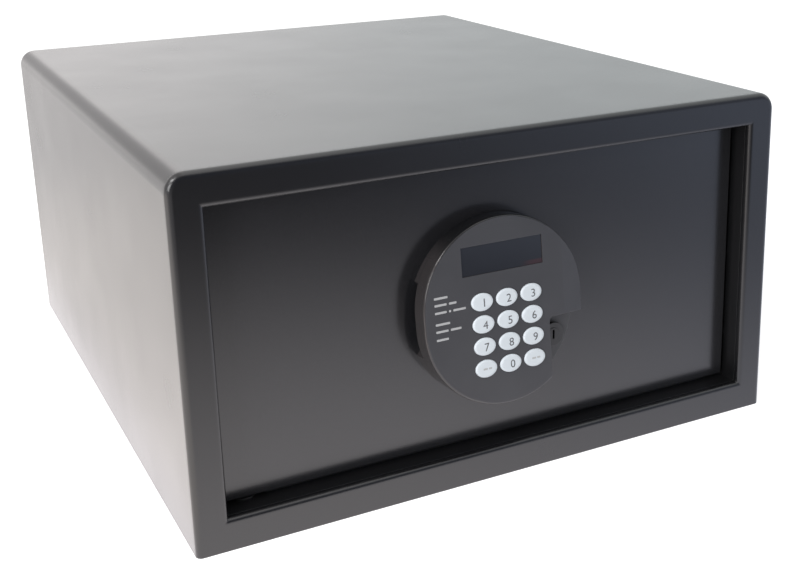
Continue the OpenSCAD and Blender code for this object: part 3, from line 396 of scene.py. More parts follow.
def lamp(name, place, size, power):
    light = bpy.data.lights.new(name, "AREA")
    light.shape = "RECTANGLE"
    light.size, light.size_y = size
    light.energy = power
    stand = bpy.data.objects.new(name, light)
    stand.location = place
    stand.rotation_euler = (AIM - Vector(place)).to_track_quat("-Z", "Y").to_euler()
    bpy.context.scene.collection.objects.link(stand)


for name, (place, size, power) in LAMPS.items():
    lamp(name, place, size, power)
print("lamps", ", ".join(LAMPS))

# %% [markdown]
# The body is folded sheet steel under a black semi-gloss powder coat. Powder melts into a skin with a
# fine orange peel, the sheet under it is never dead flat, and handling leaves faint cloudy patches. On
# the edges the skin is thinner and paler: partly wear, partly a painted highlight along them. Four small
# patterns on the real scale make all that. The door is a flat sheet that came out glossier than the
# folded shell, the frame's thin lip is hardly worn, and the inside is duller. The door's coat is also
# painted paler than the shell's as painted light, and the inside's darker as painted shade, so each of
# them has the same coat with its own numbers.


# %% Powder coat
PEEL_SCALE = 620
WAVE_SCALE = 5
CLOUD_SCALE = 16
SPECK_SCALE = 2600
PEEL_HEIGHT = 12 * MICRON
WAVE_HEIGHT = 200 * MICRON
RUB_RANGE = 0.35, 0.7
RUB_POLISH = 0.1
CLOUD_SWING = 0.07
THIN_SKIN_AND_HIGHLIGHT = tint(0.12, 0.12, 0.125)
BLUE_CAST = 1.15
SPECK_LIFT = 3
SPECK_RANGE = 0.55, 0.75
SPECK_SHARE = 0.35
COAT_IOR = 1.6


def powder_coat(name, black, gloss, wear_and_highlight=0.35, edge=0.6 * MM):
    material, wire = start_material(name)
    place = place_on_safe(wire)
    peel = grain(place, PEEL_SCALE, 2)
    waves = grain(place, WAVE_SCALE, 1)
    clouds = grain(place, CLOUD_SCALE, 5)
    specks = grain(place, SPECK_SCALE, 1)
    rounded = soft_edges(wire, edge)
    # Edges are painted paler: partly wear of the thin skin, partly a painted highlight.
    rubbed_and_highlit = edge_mask(wire, rounded) * clouds.step(*RUB_RANGE) * wear_and_highlight
    dark = tint(black, black, black * BLUE_CAST)
    paler = black * SPECK_LIFT
    speckled = blend(specks.step(*SPECK_RANGE) * SPECK_SHARE, dark, tint(paler, paler, paler))
    sockets = {
        "Base Color": blend(rubbed_and_highlit, speckled, THIN_SKIN_AND_HIGHLIGHT),
        "Roughness": gloss + swing(clouds, CLOUD_SWING) - rubbed_and_highlit * RUB_POLISH,
        "Normal": relief(peel * PEEL_HEIGHT + waves * WAVE_HEIGHT, rounded),
        "IOR": COAT_IOR,
    }
    return end_material(material, wire, sockets)


def dress(material, *nodes):
    for node in nodes:
        slots = frame["nodes"][node].data.materials
        slots.clear()
        slots.append(material)


outside_paint = powder_coat("powder_coat", 0.0065, 0.26)
dress(outside_paint, "outer_shell", "base_plate", "back_panel")
frame_paint = powder_coat("powder_coat_frame", 0.0065, 0.26, wear_and_highlight=0.05, edge=1.4 * MM)
dress(frame_paint, "front_frame")
# The door's coat is painted paler than the shell's: painted light.
door_paint_painted_light = powder_coat("powder_coat_door_painted_light", 0.014, 0.2, wear_and_highlight=0.1, edge=1 * MM)
dress(door_paint_painted_light, "door_plate")
# The inside's coat is painted darker than the shell's: painted shade.
inside_paint_painted_shade = powder_coat("powder_coat_inside_painted_shade", 0.005, 0.36, wear_and_highlight=0.2)
dress(inside_paint_painted_shade, "door_jamb", "hinge_plates", "hinge_lugs", "door_pan", "rear_cover")
print("painted 10 nodes")

# %% [markdown]
# Most of the lock's parts are injection moulded. A moulding has a faint texture, a colour that flowed a
# little unevenly while it was hot, and edges that handling has polished. One function makes them all,
# because only the colour, the gloss and the depth of the texture differ from part to part.


# %% Moulded plastic
SPARK_SCALE = 1500
FLOW_SCALE = 28
MOULD_EDGE = 0.4 * MM
THIN_RANGE = 0.3, 0.75
THIN_SHARE = 0.25
WORN_RANGE = 0.3, 0.7
WORN_SHARE = 0.3
FLOW_SWING = 0.1
SPARK_SWING = 0.08


def moulded(name, colour, gloss, texture=10 * MICRON, scale=SPARK_SCALE, lift=1.6):
    """Lift says how much paler the colour is where it flowed thin or is worn."""
    material, wire = start_material(name)
    place = place_on_safe(wire)
    spark = grain(place, scale, 2)
    flow = grain(place, FLOW_SCALE, 3)
    rounded = soft_edges(wire, MOULD_EDGE)
    bright = tint(*(min(1.0, c * lift + 0.01) for c in colour))
    thin = flow.step(*THIN_RANGE) * THIN_SHARE
    worn = edge_mask(wire, rounded) * flow.step(*WORN_RANGE) * WORN_SHARE
    sockets = {
        "Base Color": blend(thin + worn, tint(*colour), bright),
        "Roughness": gloss + swing(flow, FLOW_SWING) + swing(spark, SPARK_SWING),
        "Normal": relief(spark * texture, rounded),
    }
    return end_material(material, wire, sockets)


print("moulding ready")

# %% [markdown]
# The lock housing is black plastic too, but its mould had two finishes. The front was spark-eroded, so the
# face has a fine satin grain and looks a little greyer than the paint. The walls left the mould polished
# and mirror the door. Their colour is painted shade and light: black near the top, where light from above
# is missing, and grey lower down, where the window on the left lights them. The rounded rim between wall
# and face catches the window as a thin bright line. Which finish a spot has is read from its normal. The
# notch's floor is grained too and painted paler, as painted light in its recess, so it is told apart by
# how deep it lies.


# %% Housing plastic
INWARD = Vector(next(j["axis"] for j in frame["joints"] if j["name"] == "key_5_press")).normalized()
OUTWARD = -INWARD
FACE_OUT = max(v.co.dot(OUTWARD) for v in frame["nodes"]["lock_face"].data.vertices)
FACE_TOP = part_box("lock_face")[1].z
FACE_TURN = 0.9, 0.98
FACE_GREY = tint(0.053, 0.053, 0.059)
FACE_PALE = tint(0.084, 0.084, 0.091)
NOTCH_PAINTED_LIGHT = tint(0.085, 0.085, 0.09)
NOTCH_DEPTH = 4 * MM, 5 * MM
NOTCH_FROM = 20 * MM
WALL_BLACK = tint(0.011, 0.011, 0.012)
WALL_PAINTED_LIGHT = tint(0.04, 0.036, 0.037)
PAINTED_LIGHT_BELOW_TOP = 8 * MM, 24 * MM
HOUSING_EDGE = 0.5 * MM
GRAIN_HEIGHT = 10 * MICRON
WALL_ROUGH = 0.2
FACE_ROUGHER = 0.2
RIM_POLISH = 0.6
HOUSING_SWING = 0.06
EVERYWHERE = -1.0


def housing_plastic(name, grained_from):
    """The grain starts at this place across: the base has it only in the notch's floor."""
    material, wire = start_material(name)
    place = place_on_safe(wire)
    spark = grain(place, SPARK_SCALE, 2)
    flow = grain(place, FLOW_SCALE, 3)
    rounded = soft_edges(wire, HOUSING_EDGE)
    across, _, up = parts_of(place)
    looks_out = along_direction(rounded, OUTWARD).step(*FACE_TURN)
    front = looks_out * across.step(grained_from, grained_from + 1 * MM)
    face_grey = blend(flow.step(*THIN_RANGE) * THIN_SHARE, FACE_GREY, FACE_PALE)
    depth = FACE_OUT - along_direction(place, OUTWARD)
    # The notch's floor is painted paler by how deep it lies: painted light in its recess.
    grey_and_notch_light = blend(depth.step(*NOTCH_DEPTH), face_grey, NOTCH_PAINTED_LIGHT)
    # The wall is painted black near its top as painted shade, and grey below it as painted light from the
    # left.
    wall_lit_and_shaded = blend((FACE_TOP - up).step(*PAINTED_LIGHT_BELOW_TOP), WALL_BLACK, WALL_PAINTED_LIGHT)
    rim = front * (1 - front)
    sockets = {
        "Base Color": blend(front, wall_lit_and_shaded, grey_and_notch_light),
        "Roughness": WALL_ROUGH + front * FACE_ROUGHER - rim * RIM_POLISH + swing(flow, HOUSING_SWING),
        "Normal": relief(spark * front * GRAIN_HEIGHT, rounded),
    }
    return end_material(material, wire, sockets)


dress(housing_plastic("housing_plastic", EVERYWHERE), "lock_face")
dress(housing_plastic("housing_plastic_base", NOTCH_FROM), "lock_base")
print("housing dressed")

# %% [markdown]
# The smaller mouldings are the battery tray with its cover, the nylon guides of the bolt bar, the red
# button inside the door, the rubber sheet and the twelve keys on it. The keys are a satin, slightly cool
# white, which is the palest thing on the safe.

# %% Tray, guides, button and keys
black_tray = moulded("tray_plastic", (0.03, 0.03, 0.031), 0.5)
dress(black_tray, "battery_tray", "battery_cover")
natural_nylon = moulded("guide_nylon", (0.72, 0.7, 0.62), 0.4, texture=4 * MICRON, lift=1.1)
dress(natural_nylon, "bolt_guides")
red_button = moulded("reset_red", (0.5, 0.03, 0.03), 0.3, texture=3 * MICRON, lift=1.2)
dress(red_button, "reset_button")
white_rubber = moulded("sheet_rubber", (0.6, 0.6, 0.58), 0.6, texture=6 * MICRON, lift=1.1)
dress(white_rubber, "key_mat")
white_keys = moulded("key_plastic", (0.78, 0.835, 0.89), 0.38, texture=4 * MICRON, lift=1.08)
KEYS = [name for name in frame["nodes"] if name.startswith("key_") and name != "key_mat"]
dress(white_keys, *KEYS)
print("moulded", len(KEYS), "keys and 5 other nodes")

# %% [markdown]
# The display's window is smoked acrylic with a polished face. Nothing is lit, so it reads as a dark,
# slightly blue mirror, with a trace of warm tint at its lower right. Behind it lies the black module,
# with the fine stripes of its digit fields.


# %% Display window
SMOKE = tint(0.017, 0.018, 0.023)
WARM_CORNER = tint(0.06, 0.022, 0.024)
WARM_FROM_RIGHT = 17 * MM, 6 * MM
WARM_FROM_FOOT = 3.6 * MM, 2.4 * MM
WARM_SHARE = 0.6
HAZE_SCALE = 60
HAZE_RANGE = 0.4, 0.8
HAZE_HEIGHT = 20 * MICRON
STRIPE = 0.4 * MM
STRIPE_EDGE = 0.1 * MM, 0.3 * MM
STRIPE_DARK = tint(0.012, 0.012, 0.013)
STRIPE_PALE = tint(0.03, 0.03, 0.032)


def smoked_window():
    material, wire = start_material("window_plastic")
    place = place_on_safe(wire)
    low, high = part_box("display_window")
    across, _, up = parts_of(place)
    warm = (high.x - across).step(*WARM_FROM_RIGHT) * (up - low.z).step(*WARM_FROM_FOOT)
    haze = grain(place, HAZE_SCALE, 3)
    sockets = {
        "Base Color": blend(warm * WARM_SHARE, SMOKE, WARM_CORNER),
        "Roughness": 0.1 + haze.step(*HAZE_RANGE) * 0.06,
        "Normal": relief(haze * HAZE_HEIGHT),
    }
    return end_material(material, wire, sockets)


def digit_block():
    material, wire = start_material("display_plastic")
    across, _, _ = parts_of(place_on_safe(wire))
    stripes = across.math("PINGPONG", across, STRIPE)
    sockets = {
        "Base Color": blend(stripes.step(*STRIPE_EDGE), STRIPE_DARK, STRIPE_PALE),
        "Roughness": 0.25 + stripes * (0.04 / STRIPE),
    }
    return end_material(material, wire, sockets)


dress(smoked_window(), "display_window")
dress(digit_block(), "display_module")
print("window dressed")

# %% [markdown]
# Metals differ in how they were finished. Zinc plate is bright with a cloudy, faintly blue passivation.
# The bolts are turned and polished, so fine rings run round them, and the gear is brass. The lock's barrel
# is die-cast and coated black, so it is dressed as a coat, not as a metal: light reaches its colour
# through a thin satin skin. The hinge's bushes are turned black acetal.


# %% Metals
METAL_EDGE = 0.3 * MM
TOOL_MARK_HEIGHT = 3 * MICRON
STAIN_SCALE = 45
STAIN_RANGE = 0.3, 0.7
STAIN_SWING = 0.15
MARK_SWING = 0.1


def metal(name, colour, other, gloss, lines=(1, 1, 1), line_scale=900):
    """Lines is the stretch of the tool marks: a large number along an axis packs them along it."""
    material, wire = start_material(name)
    place = place_on_safe(wire)
    marks = grain(place, line_scale, 3, lines)
    stains = grain(place, STAIN_SCALE, 4)
    rounded = soft_edges(wire, METAL_EDGE)
    sockets = {
        "Base Color": blend(stains.step(*STAIN_RANGE), tint(*colour), tint(*other)),
        "Metallic": 1.0,
        "Roughness": gloss + swing(stains, STAIN_SWING) + swing(marks, MARK_SWING),
        "Normal": relief(marks * TOOL_MARK_HEIGHT, rounded),
    }
    return end_material(material, wire, sockets)


zinc = metal("plated_steel", (0.66, 0.68, 0.71), (0.58, 0.58, 0.56), 0.34)
dress(zinc, "keeper_plate", "hinge_pins", "cover_screws", "base_screws", "face_screws", "override_nut",
      "door_studs", "motor_bracket", "motor_screws", "guide_studs", "bolt_bar", "bolt_nuts",
      "override_cam", "cam_screw", "battery_contacts")
turned_nickel = metal("bolt_steel", (0.76, 0.76, 0.77), (0.7, 0.7, 0.7), 0.2, (1, 0.02, 0.02), 1800)
dress(turned_nickel, "lock_bolts")
black_coat = moulded("lock_black", (0.03, 0.03, 0.031), 0.42, texture=4 * MICRON, scale=2200)
dress(black_coat, "override_barrel", "override_plug")
brass = metal("gear_brass", (0.72, 0.53, 0.24), (0.62, 0.44, 0.2), 0.3, (1, 0.1, 1))
dress(brass, "pinion")
acetal = moulded("bush_polymer", (0.02, 0.02, 0.021), 0.35, texture=3 * MICRON)
dress(acetal, "hinge_bushes")
print("metals, black coats and bushes dressed")

# %% [markdown]
# The gear motor is one solid with two finishes, told apart by place. The motor's can is drawn steel, so
# fine lines run along it, and the gearbox at its right end is dark moulded zinc.


# %% Gear motor
GEARBOX_W = 40 * MM
FINISH_CHANGE = 0.2 * MM
DRAW_SCALE = 700
DRAW_STRETCH = 0.05, 1, 1
DRAW_HEIGHT = 4 * MICRON
DRAWN_STEEL = tint(0.5, 0.5, 0.52), tint(0.62, 0.62, 0.64)
GEARBOX_GREY = tint(0.05, 0.05, 0.055)
MOTOR_EDGE = 0.4 * MM


def gear_motor_finish():
    material, wire = start_material("motor_steel")
    place = place_on_safe(wire)
    low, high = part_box("gear_motor")
    across, _, _ = parts_of(place)
    gearbox = across.step(high.x - GEARBOX_W - FINISH_CHANGE, high.x - GEARBOX_W)
    draw_lines = grain(place, DRAW_SCALE, 3, DRAW_STRETCH)
    sockets = {
        "Base Color": blend(gearbox, blend(draw_lines, *DRAWN_STEEL), GEARBOX_GREY),
        "Metallic": 1 - gearbox * 0.6,
        "Roughness": 0.3 + gearbox * 0.2 + swing(draw_lines, 0.1),
        "Normal": relief(draw_lines * DRAW_HEIGHT, soft_edges(wire, MOTOR_EDGE)),
    }
    return end_material(material, wire, sockets)


dress(gear_motor_finish(), "gear_motor")
print("gear motor dressed")

# %% [markdown]
# The two circuit boards are glass fibre under green solder mask. Copper shows through as paler tracks,
# which here follow a fine grid that noise switches on and off, and tinned pads lie on the grid's corners.


# %% Circuit boards
GRID_PITCH = 1.27 * MM
TRACK_HALF = 0.32 * MM, 0.22 * MM
PAD_HALF = 0.6 * MM, 0.5 * MM
TRACK_SCALE = 120
TRACK_RANGE = 0.48, 0.52
TRACK_SIDE = 0.2, 0.8
TRACK_HEIGHT = 30 * MICRON
PAD_SCALE = 260
PAD_RANGE = 0.6, 0.62
PAD_HEIGHT = 50 * MICRON
MASK_GREEN = tint(0.012, 0.1, 0.035)
TRACK_GREEN = tint(0.03, 0.2, 0.07)
TINNED = tint(0.7, 0.7, 0.68)


def solder_mask():
    material, wire = start_material("board_green")
    place = place_on_safe(wire)
    across, _, up = parts_of(place)
    row = up.math("PINGPONG", up, GRID_PITCH)
    column = across.math("PINGPONG", across, GRID_PITCH)
    level = grain(place, TRACK_SCALE, 0).step(*TRACK_RANGE)
    tracks = row.step(*TRACK_HALF) * level + column.step(*TRACK_HALF) * (1 - level)
    chosen = grain(place, PAD_SCALE, 0).step(*PAD_RANGE)
    pads = row.step(*PAD_HALF) * column.step(*PAD_HALF) * chosen
    mask = blend(tracks.step(*TRACK_SIDE), MASK_GREEN, TRACK_GREEN)
    sockets = {
        "Base Color": blend(pads, mask, TINNED),
        "Metallic": pads,
        "Roughness": 0.3 + pads * 0.05,
        "Normal": relief(tracks * TRACK_HEIGHT + pads * PAD_HEIGHT),
    }
    return end_material(material, wire, sockets)


dress(solder_mask(), "keypad_board", "control_board")
print("boards dressed")

# %% [markdown]
# Each cell wears a plain printed sleeve, dark with a pale upper part, and its metal is bare at both ends.
# The cells stand side by side, all at one height, so height alone tells sleeve, band and bare metal apart.


# %% Cells
BARE_END = 1.4 * MM
BARE_CHANGE = 0.1 * MM
BAND_FROM = 13 * MM, 13.2 * MM
SLEEVE_DARK = tint(0.03, 0.06, 0.13)
SLEEVE_PALE = tint(0.55, 0.55, 0.52)
CELL_STEEL = tint(0.65, 0.65, 0.66)
SCUFF_SCALE = 300
SCUFF_STRETCH = 1, 1, 0.2
SCUFF_RANGE = 0.5, 0.8
SCUFF_HEIGHT = 6 * MICRON


def cell_jacket():
    material, wire = start_material("cell_jacket")
    place = place_on_safe(wire)
    low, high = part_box("batteries")
    middle = (low.z + high.z) / 2
    half = (high.z - low.z) / 2
    _, _, up = parts_of(place)
    above_middle = up - middle
    bare = abs(above_middle).step(half - BARE_END - BARE_CHANGE, half - BARE_END)
    scuffs = grain(place, SCUFF_SCALE, 4, SCUFF_STRETCH)
    sleeve = blend(above_middle.step(*BAND_FROM), SLEEVE_DARK, SLEEVE_PALE)
    sockets = {
        "Base Color": blend(bare, sleeve, CELL_STEEL),
        "Metallic": bare,
        "Roughness": 0.24 + scuffs.step(*SCUFF_RANGE) * 0.2,
        "Normal": relief(scuffs * SCUFF_HEIGHT),
    }
    return end_material(material, wire, sockets)


dress(cell_jacket(), "batteries")
print("cells dressed")

# %% [markdown]
# The lock's face leans back a little, so what is printed there is drawn flat first and then laid in place
# by one matrix. The solid below tells where: its extents along the face's three directions give the middle
# of its front, which on a key is the top of its crown.

# %% Directions on the face
RIGHTWARD = Vector((1, 0, 0))
UPWARD = OUTWARD.cross(RIGHTWARD)


def on_top_of(node):
    """A matrix whose X and Y lie in the face and whose origin is the middle of the node's front."""
    corners = [v.co for v in frame["nodes"][node].data.vertices]
    spans = [[c.dot(axis) for c in corners] for axis in (RIGHTWARD, UPWARD, OUTWARD)]
    u, v = ((min(s) + max(s)) / 2 for s in spans[:2])
    origin = RIGHTWARD * u + UPWARD * v + OUTWARD * max(spans[2])
    turned = Matrix((RIGHTWARD, UPWARD, OUTWARD)).transposed().to_4x4()
    return Matrix.Translation(origin) @ turned


face = on_top_of("lock_face")
print("face middle in mm", [round(c / MM, 2) for c in face.translation])

# %% [markdown]
# Ink lies on plastic as a matt film, a little uneven at the scale of the screen it was pressed through.
# Three inks are needed: dark for the digits, white for the face and a faint grey for two of the keys.


# %% Ink
INK_SCALE = 2500
INK_HEIGHT = 2 * MICRON
FADE_RANGE = 0.5, 0.8
FADE_SHARE = 0.6


def ink(name, colour):
    material, wire = start_material(name)
    fade = grain(place_on_safe(wire), INK_SCALE, 3)
    pale = tint(*(c * 0.75 + 0.1 for c in colour))
    sockets = {
        "Base Color": blend(fade.step(*FADE_RANGE) * FADE_SHARE, tint(*colour), pale),
        "Roughness": 0.5 + fade * 0.1,
        "Normal": relief(fade * INK_HEIGHT),
    }
    return end_material(material, wire, sockets)


dark_ink = ink("digit_ink", (0.1, 0.1, 0.11))
faint_ink = ink("faint_ink", (0.55, 0.56, 0.57))
white_ink = ink("legend_ink", (0.5, 0.5, 0.51))
print("three inks mixed")

# %% [markdown]
# Digits are printed on ten of the keys. Blender's text is a curve, so it becomes a mesh first. Its doubles
# are merged, it is scaled to the real height, extruded to the ink's thickness, and laid on its key so that
# its lower half sinks into the crown and leaves no gap.

# %% Digits on the keys
DIGIT_H = 5.2 * MM
DIGIT_RIGHT = 1.1 * MM
DIGIT_DOWN = 0.4 * MM
CURVE_STEPS = 6
MERGE_DISTANCE = 1e-5
INK_T = 0.03 * MM


def digit_piece(text, node):
    curve = bpy.data.curves.new("text", "FONT")
    curve.body = text
    curve.resolution_u = CURVE_STEPS
    holder = bpy.data.objects.new("text", curve)
    bpy.context.scene.collection.objects.link(holder)
    bpy.context.view_layer.update()
    evaluated = holder.evaluated_get(bpy.context.evaluated_depsgraph_get())
    mesh = bpy.data.meshes.new_from_object(evaluated)
    bpy.data.objects.remove(holder)
    shape = bmesh.new()
    shape.from_mesh(mesh)
    bpy.data.meshes.remove(mesh)
    bmesh.ops.remove_doubles(shape, verts=shape.verts, dist=MERGE_DISTANCE)
    low = Vector(min(v.co[i] for v in shape.verts) for i in range(3))
    high = Vector(max(v.co[i] for v in shape.verts) for i in range(3))
    middle = Vector(((low.x + high.x) / 2, (low.y + high.y) / 2, 0))
    scale = DIGIT_H / (high.y - low.y)
    bmesh.ops.translate(shape, verts=shape.verts, vec=-middle)
    bmesh.ops.scale(shape, verts=shape.verts, vec=(scale, scale, 1))
    grown = bmesh.ops.extrude_face_region(shape, geom=shape.faces[:])
    raised = [g for g in grown["geom"] if isinstance(g, bmesh.types.BMVert)]
    bmesh.ops.translate(shape, verts=raised, vec=(0, 0, 2 * INK_T))
    bmesh.ops.recalc_face_normals(shape, faces=shape.faces)
    spot = on_top_of(node) @ Matrix.Translation((DIGIT_RIGHT, -DIGIT_DOWN, -INK_T))
    bmesh.ops.transform(shape, matrix=spot, verts=shape.verts)
    return shape


for digit in "1234567890":
    key = "key_" + digit
    printed = new_piece("digit_" + digit, lambda: digit_piece(digit, key), [dark_ink])
    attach(printed, key)
print("printed 10 digits,", DIGIT_H / MM, "mm high")

# %% [markdown]
# Short plain bars are printed beside the keys, white and in six lines, and faint grey ones lie on the two
# outer keys of the last row. A bar is a rounded strip, made from a grid cell whose corners are bevelled.


# %% Printed bars
CORNER_SHARE = 0.3
CORNER_SEGMENTS = 3


def bars_shape(spot, bars, height):
    """Bars are (left, middle height, length) in millimetres, measured on the face from spot."""
    shape = bmesh.new()
    for left, level, length in bars:
        made = bmesh.ops.create_grid(shape, x_segments=1, y_segments=1, size=0.5)["verts"]
        bmesh.ops.scale(shape, verts=made, vec=(length * MM, height * MM, 1))
        bmesh.ops.translate(shape, verts=made, vec=((left + length / 2) * MM, level * MM, 0))
    bmesh.ops.bevel(shape, geom=shape.verts[:], offset=CORNER_SHARE * height * MM, offset_type="OFFSET",
                    segments=CORNER_SEGMENTS, profile=0.5, affect="VERTICES", material=-1)
    grown = bmesh.ops.extrude_face_region(shape, geom=shape.faces[:])
    raised = [g for g in grown["geom"] if isinstance(g, bmesh.types.BMVert)]
    bmesh.ops.translate(shape, verts=raised, vec=(0, 0, INK_T))
    bmesh.ops.recalc_face_normals(shape, faces=shape.faces)
    bmesh.ops.transform(shape, matrix=spot, verts=shape.verts)
    return shape


LEGEND_LEFT = -49
LEGEND_LINES = {
    16: [9.3],
    11.6: [8.3, 5.2],
    6.8: [8, 1.4, 8.6],
    -0.5: [9.8],
    -5.1: [8.4, 7.3],
    -10.3: [8.2],
}
LEGEND_H = 1.4
BAR_GAP = 1.6
KEY_BARS = [(-2.5, 0, 3), (1.2, 0, 2.4)]
KEY_BAR_H = 1.2
bars = []
for level, lengths in LEGEND_LINES.items():
    left = LEGEND_LEFT
    for length in lengths:
        bars.append((left, level, length))
        left += length + BAR_GAP
legend = new_piece("legend_bars", lambda: bars_shape(face, bars, LEGEND_H), [white_ink])
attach(legend, "door")
for key in ("key_clear", "key_enter"):
    marks = new_piece(key + "_bar", lambda: bars_shape(on_top_of(key), KEY_BARS, KEY_BAR_H), [faint_ink])
    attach(marks, key)
print("printed", len(bars), "legend bars")

# %% [markdown]
# The floor mat is needled felt, cut to the floor with a hole over each anchor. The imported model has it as
# a plain slab. Here a fine grid is pierced, sagged a little and given its thickness, and the fibres are
# in the material: long noise drawn out in two directions, with a fuzzy sheen.

# %% Felt mat
MAT_CELL = 6 * MM
MAT_SINK = 0.35 * MM
MAT_EDGE = 0.8 * MM
MAT_EDGE_SEGMENTS = 3
ANCHOR_X = 280 / 2 * MM
HOLE_R = 17 / 2 * MM
mat_low, mat_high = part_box("floor_mat")


def ripple(x, y):
    """Between about -1.5 and 1.5, in waves 6 to 27 centimetres long."""
    return math.sin(x * 31) * math.sin(y * 23 + 1) + 0.5 * math.sin(x * 77 + y * 61)


def mat_shape():
    shape = bmesh.new()
    size = mat_high - mat_low
    columns, rows = round(size.x / MAT_CELL), round(size.y / MAT_CELL)
    bmesh.ops.create_grid(shape, x_segments=columns, y_segments=rows, size=0.5)
    bmesh.ops.scale(shape, verts=shape.verts, vec=(size.x, size.y, 1))
    middle = (mat_low + mat_high) / 2
    bmesh.ops.translate(shape, verts=shape.verts, vec=(middle.x, middle.y, mat_high.z))
    holes = [Vector((side * ANCHOR_X, 0, mat_high.z)) for side in (-1, 1)]
    for hole in holes:
        inside = [f for f in shape.faces if (f.calc_center_median() - hole).length < HOLE_R]
        bmesh.ops.delete(shape, geom=inside, context="FACES")
        rim = [v for v in shape.verts if v.is_boundary and (v.co - hole).length < 2 * HOLE_R]
        for v in rim:
            v.co = hole + (v.co - hole).normalized() * HOLE_R
    for v in shape.verts:
        v.co.z -= MAT_SINK * (0.5 + ripple(v.co.x, v.co.y) / 3)
    return shape


FIBRE_SCALE = 900
FIBRE_STRETCH = 0.15
FIBRE_RANGE = 0.4, 0.65
FIBRE_SHARE = 0.8
FIBRE_HEIGHT = 600 * MICRON
TUFT_SCALE = 140
TUFT_SWING = 0.3
TUFT_HEIGHT = 400 * MICRON
FELT_DARK = tint(0.045, 0.046, 0.05)
FELT_PALE = tint(0.16, 0.16, 0.17)


def felt():
    material, wire = start_material("mat_felt")
    place = place_on_safe(wire)
    along = grain(place, FIBRE_SCALE, 4, (FIBRE_STRETCH, 1, 1))
    across = grain(place, FIBRE_SCALE, 4, (1, FIBRE_STRETCH, 1))
    tufts = grain(place, TUFT_SCALE, 4)
    fibres = (along + across) * 0.5
    paleness = fibres.step(*FIBRE_RANGE) * FIBRE_SHARE + swing(tufts, TUFT_SWING)
    sockets = {
        "Base Color": blend(paleness, FELT_DARK, FELT_PALE),
        "Roughness": 0.9,
        "Normal": relief(fibres * FIBRE_HEIGHT + tufts * TUFT_HEIGHT),
        "Sheen Weight": 0.4,
        "Sheen Roughness": 0.5,
    }
    return end_material(material, wire, sockets)


mat = new_piece("felt_mat", mat_shape, [felt()])
thick = mat.modifiers.new("thickness", "SOLIDIFY")
thick.thickness = (mat_high - mat_low).z - MAT_SINK
thick.offset = -1
rounding = mat.modifiers.new("rounded_edge", "BEVEL")
rounding.width = MAT_EDGE
rounding.segments = MAT_EDGE_SEGMENTS
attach(mat, "body")
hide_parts("floor_mat")
print("mat", [round(s / MM) for s in mat_high - mat_low])

# %% [markdown]
# The screws that hold the rear cover are the only fasteners in open view, once the door is open. Each pan
# head gets its cross recess: the outline of a cross is bridged to a round rim, further rings are bridged on
# down the dome, and the cross is pushed in and drawn together at its foot, as the punch leaves it.

# %% Cover screws
SCREW_HEAD_D = 8 * MM
SCREW_HEAD_T = 2 * MM
SCREW_SHANK_D = 4 * MM
CROSS_LONG = 4.4 * MM
CROSS_WIDE = 1.1 * MM
CROSS_DEEP = 1.5 * MM
CROSS_FOOT = 0.6
RIM_POINTS = 24
DOME = [(0.72, 1.0), (0.88, 0.9), (0.97, 0.7), (1.0, 0.4), (1.0, 0.0)]
SCREW_TURNS = [0.3, 1.5, 2.4, 3.6]


def cross_corners():
    long, wide = CROSS_LONG / 2, CROSS_WIDE / 2
    arm = [(wide, -wide), (long, -wide), (long, wide)]
    corners = []
    for quarter in range(4):
        turn = Matrix.Rotation(quarter * math.pi / 2, 2)
        corners += [turn @ Vector(c) for c in arm]
    return corners


def ring(shape, points):
    """A closed loop of edges through these points."""
    verts = [shape.verts.new(p) for p in points]
    return [shape.edges.new((verts[i - 1], verts[i])) for i in range(len(verts))]


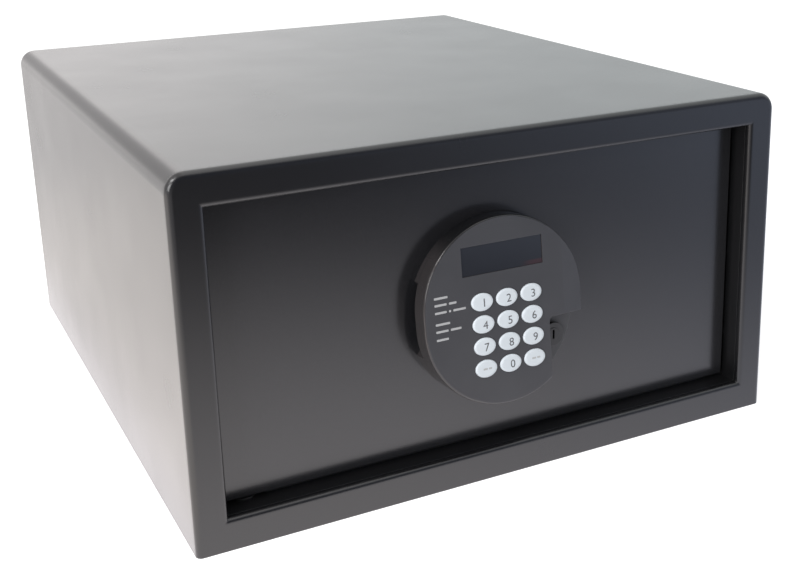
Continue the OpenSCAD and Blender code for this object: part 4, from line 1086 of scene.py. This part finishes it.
def screw_head(shape):
    """One pan head looking along Z, its seat at height 0; DOME has shares of its radius and height."""
    top = SCREW_HEAD_T
    cross = ring(shape, [(x, y, top) for x, y in cross_corners()])
    bmesh.ops.subdivide_edges(shape, edges=cross, cuts=1)
    cross = shape.edges[:]
    radius = SCREW_HEAD_D / 2
    angles = [2 * math.pi * i / RIM_POINTS for i in range(RIM_POINTS)]
    rings = []
    for share, rise in DOME:
        reach = radius * share
        rings.append(ring(shape, [(reach * math.cos(a), reach * math.sin(a), top * rise) for a in angles]))
    bmesh.ops.bridge_loops(shape, edges=cross + rings[0])
    for outer, inner in zip(rings[1:], rings):
        bmesh.ops.bridge_loops(shape, edges=outer + inner)
    walls = bmesh.ops.extrude_edge_only(shape, edges=cross)
    foot = [g for g in walls["geom"] if isinstance(g, bmesh.types.BMVert)]
    bmesh.ops.translate(shape, verts=foot, vec=(0, 0, -CROSS_DEEP))
    bmesh.ops.scale(shape, verts=foot, vec=(CROSS_FOOT, CROSS_FOOT, 1))
    foot_edges = [g for g in walls["geom"] if isinstance(g, bmesh.types.BMEdge)]
    bmesh.ops.holes_fill(shape, edges=foot_edges, sides=0)
    return shape


def one_screw(length):
    """A head with its shank below it, from the seat down."""
    shape = bmesh.new()
    screw_head(shape)
    radius = SCREW_SHANK_D / 2
    shank = bmesh.ops.create_cone(shape, cap_ends=True, segments=RIM_POINTS, radius1=radius, radius2=radius,
                                  depth=length)
    bmesh.ops.translate(shape, verts=shank["verts"], vec=(0, 0, -length / 2))
    return shape


def cover_screw_shape():
    """All four screws; each stopped turning at an angle of its own."""
    shape = bmesh.new()
    low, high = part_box("cover_screws")
    inset = SCREW_HEAD_D / 2
    corners = [(x, z) for x in (low.x + inset, high.x - inset) for z in (low.z + inset, high.z - inset)]
    facing_inside = Matrix.Rotation(-math.pi / 2, 4, "X")
    for turn, (x, z) in zip(SCREW_TURNS, corners):
        one = one_screw(high.y - low.y - SCREW_HEAD_T)
        seat = Matrix.Translation((x, high.y - SCREW_HEAD_T, z))
        stopped = Matrix.Rotation(turn, 4, "Z")
        bmesh.ops.transform(one, matrix=seat @ facing_inside @ stopped, verts=one.verts)
        mesh = bpy.data.meshes.new("one_screw")
        one.to_mesh(mesh)
        one.free()
        shape.from_mesh(mesh)
        bpy.data.meshes.remove(mesh)
    bmesh.ops.recalc_face_normals(shape, faces=shape.faces)
    return shape


screws = new_piece("cross_head_screws", cover_screw_shape, [zinc])
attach(screws, "door")
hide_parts("cover_screws")
print("cut crosses in 4 screws")
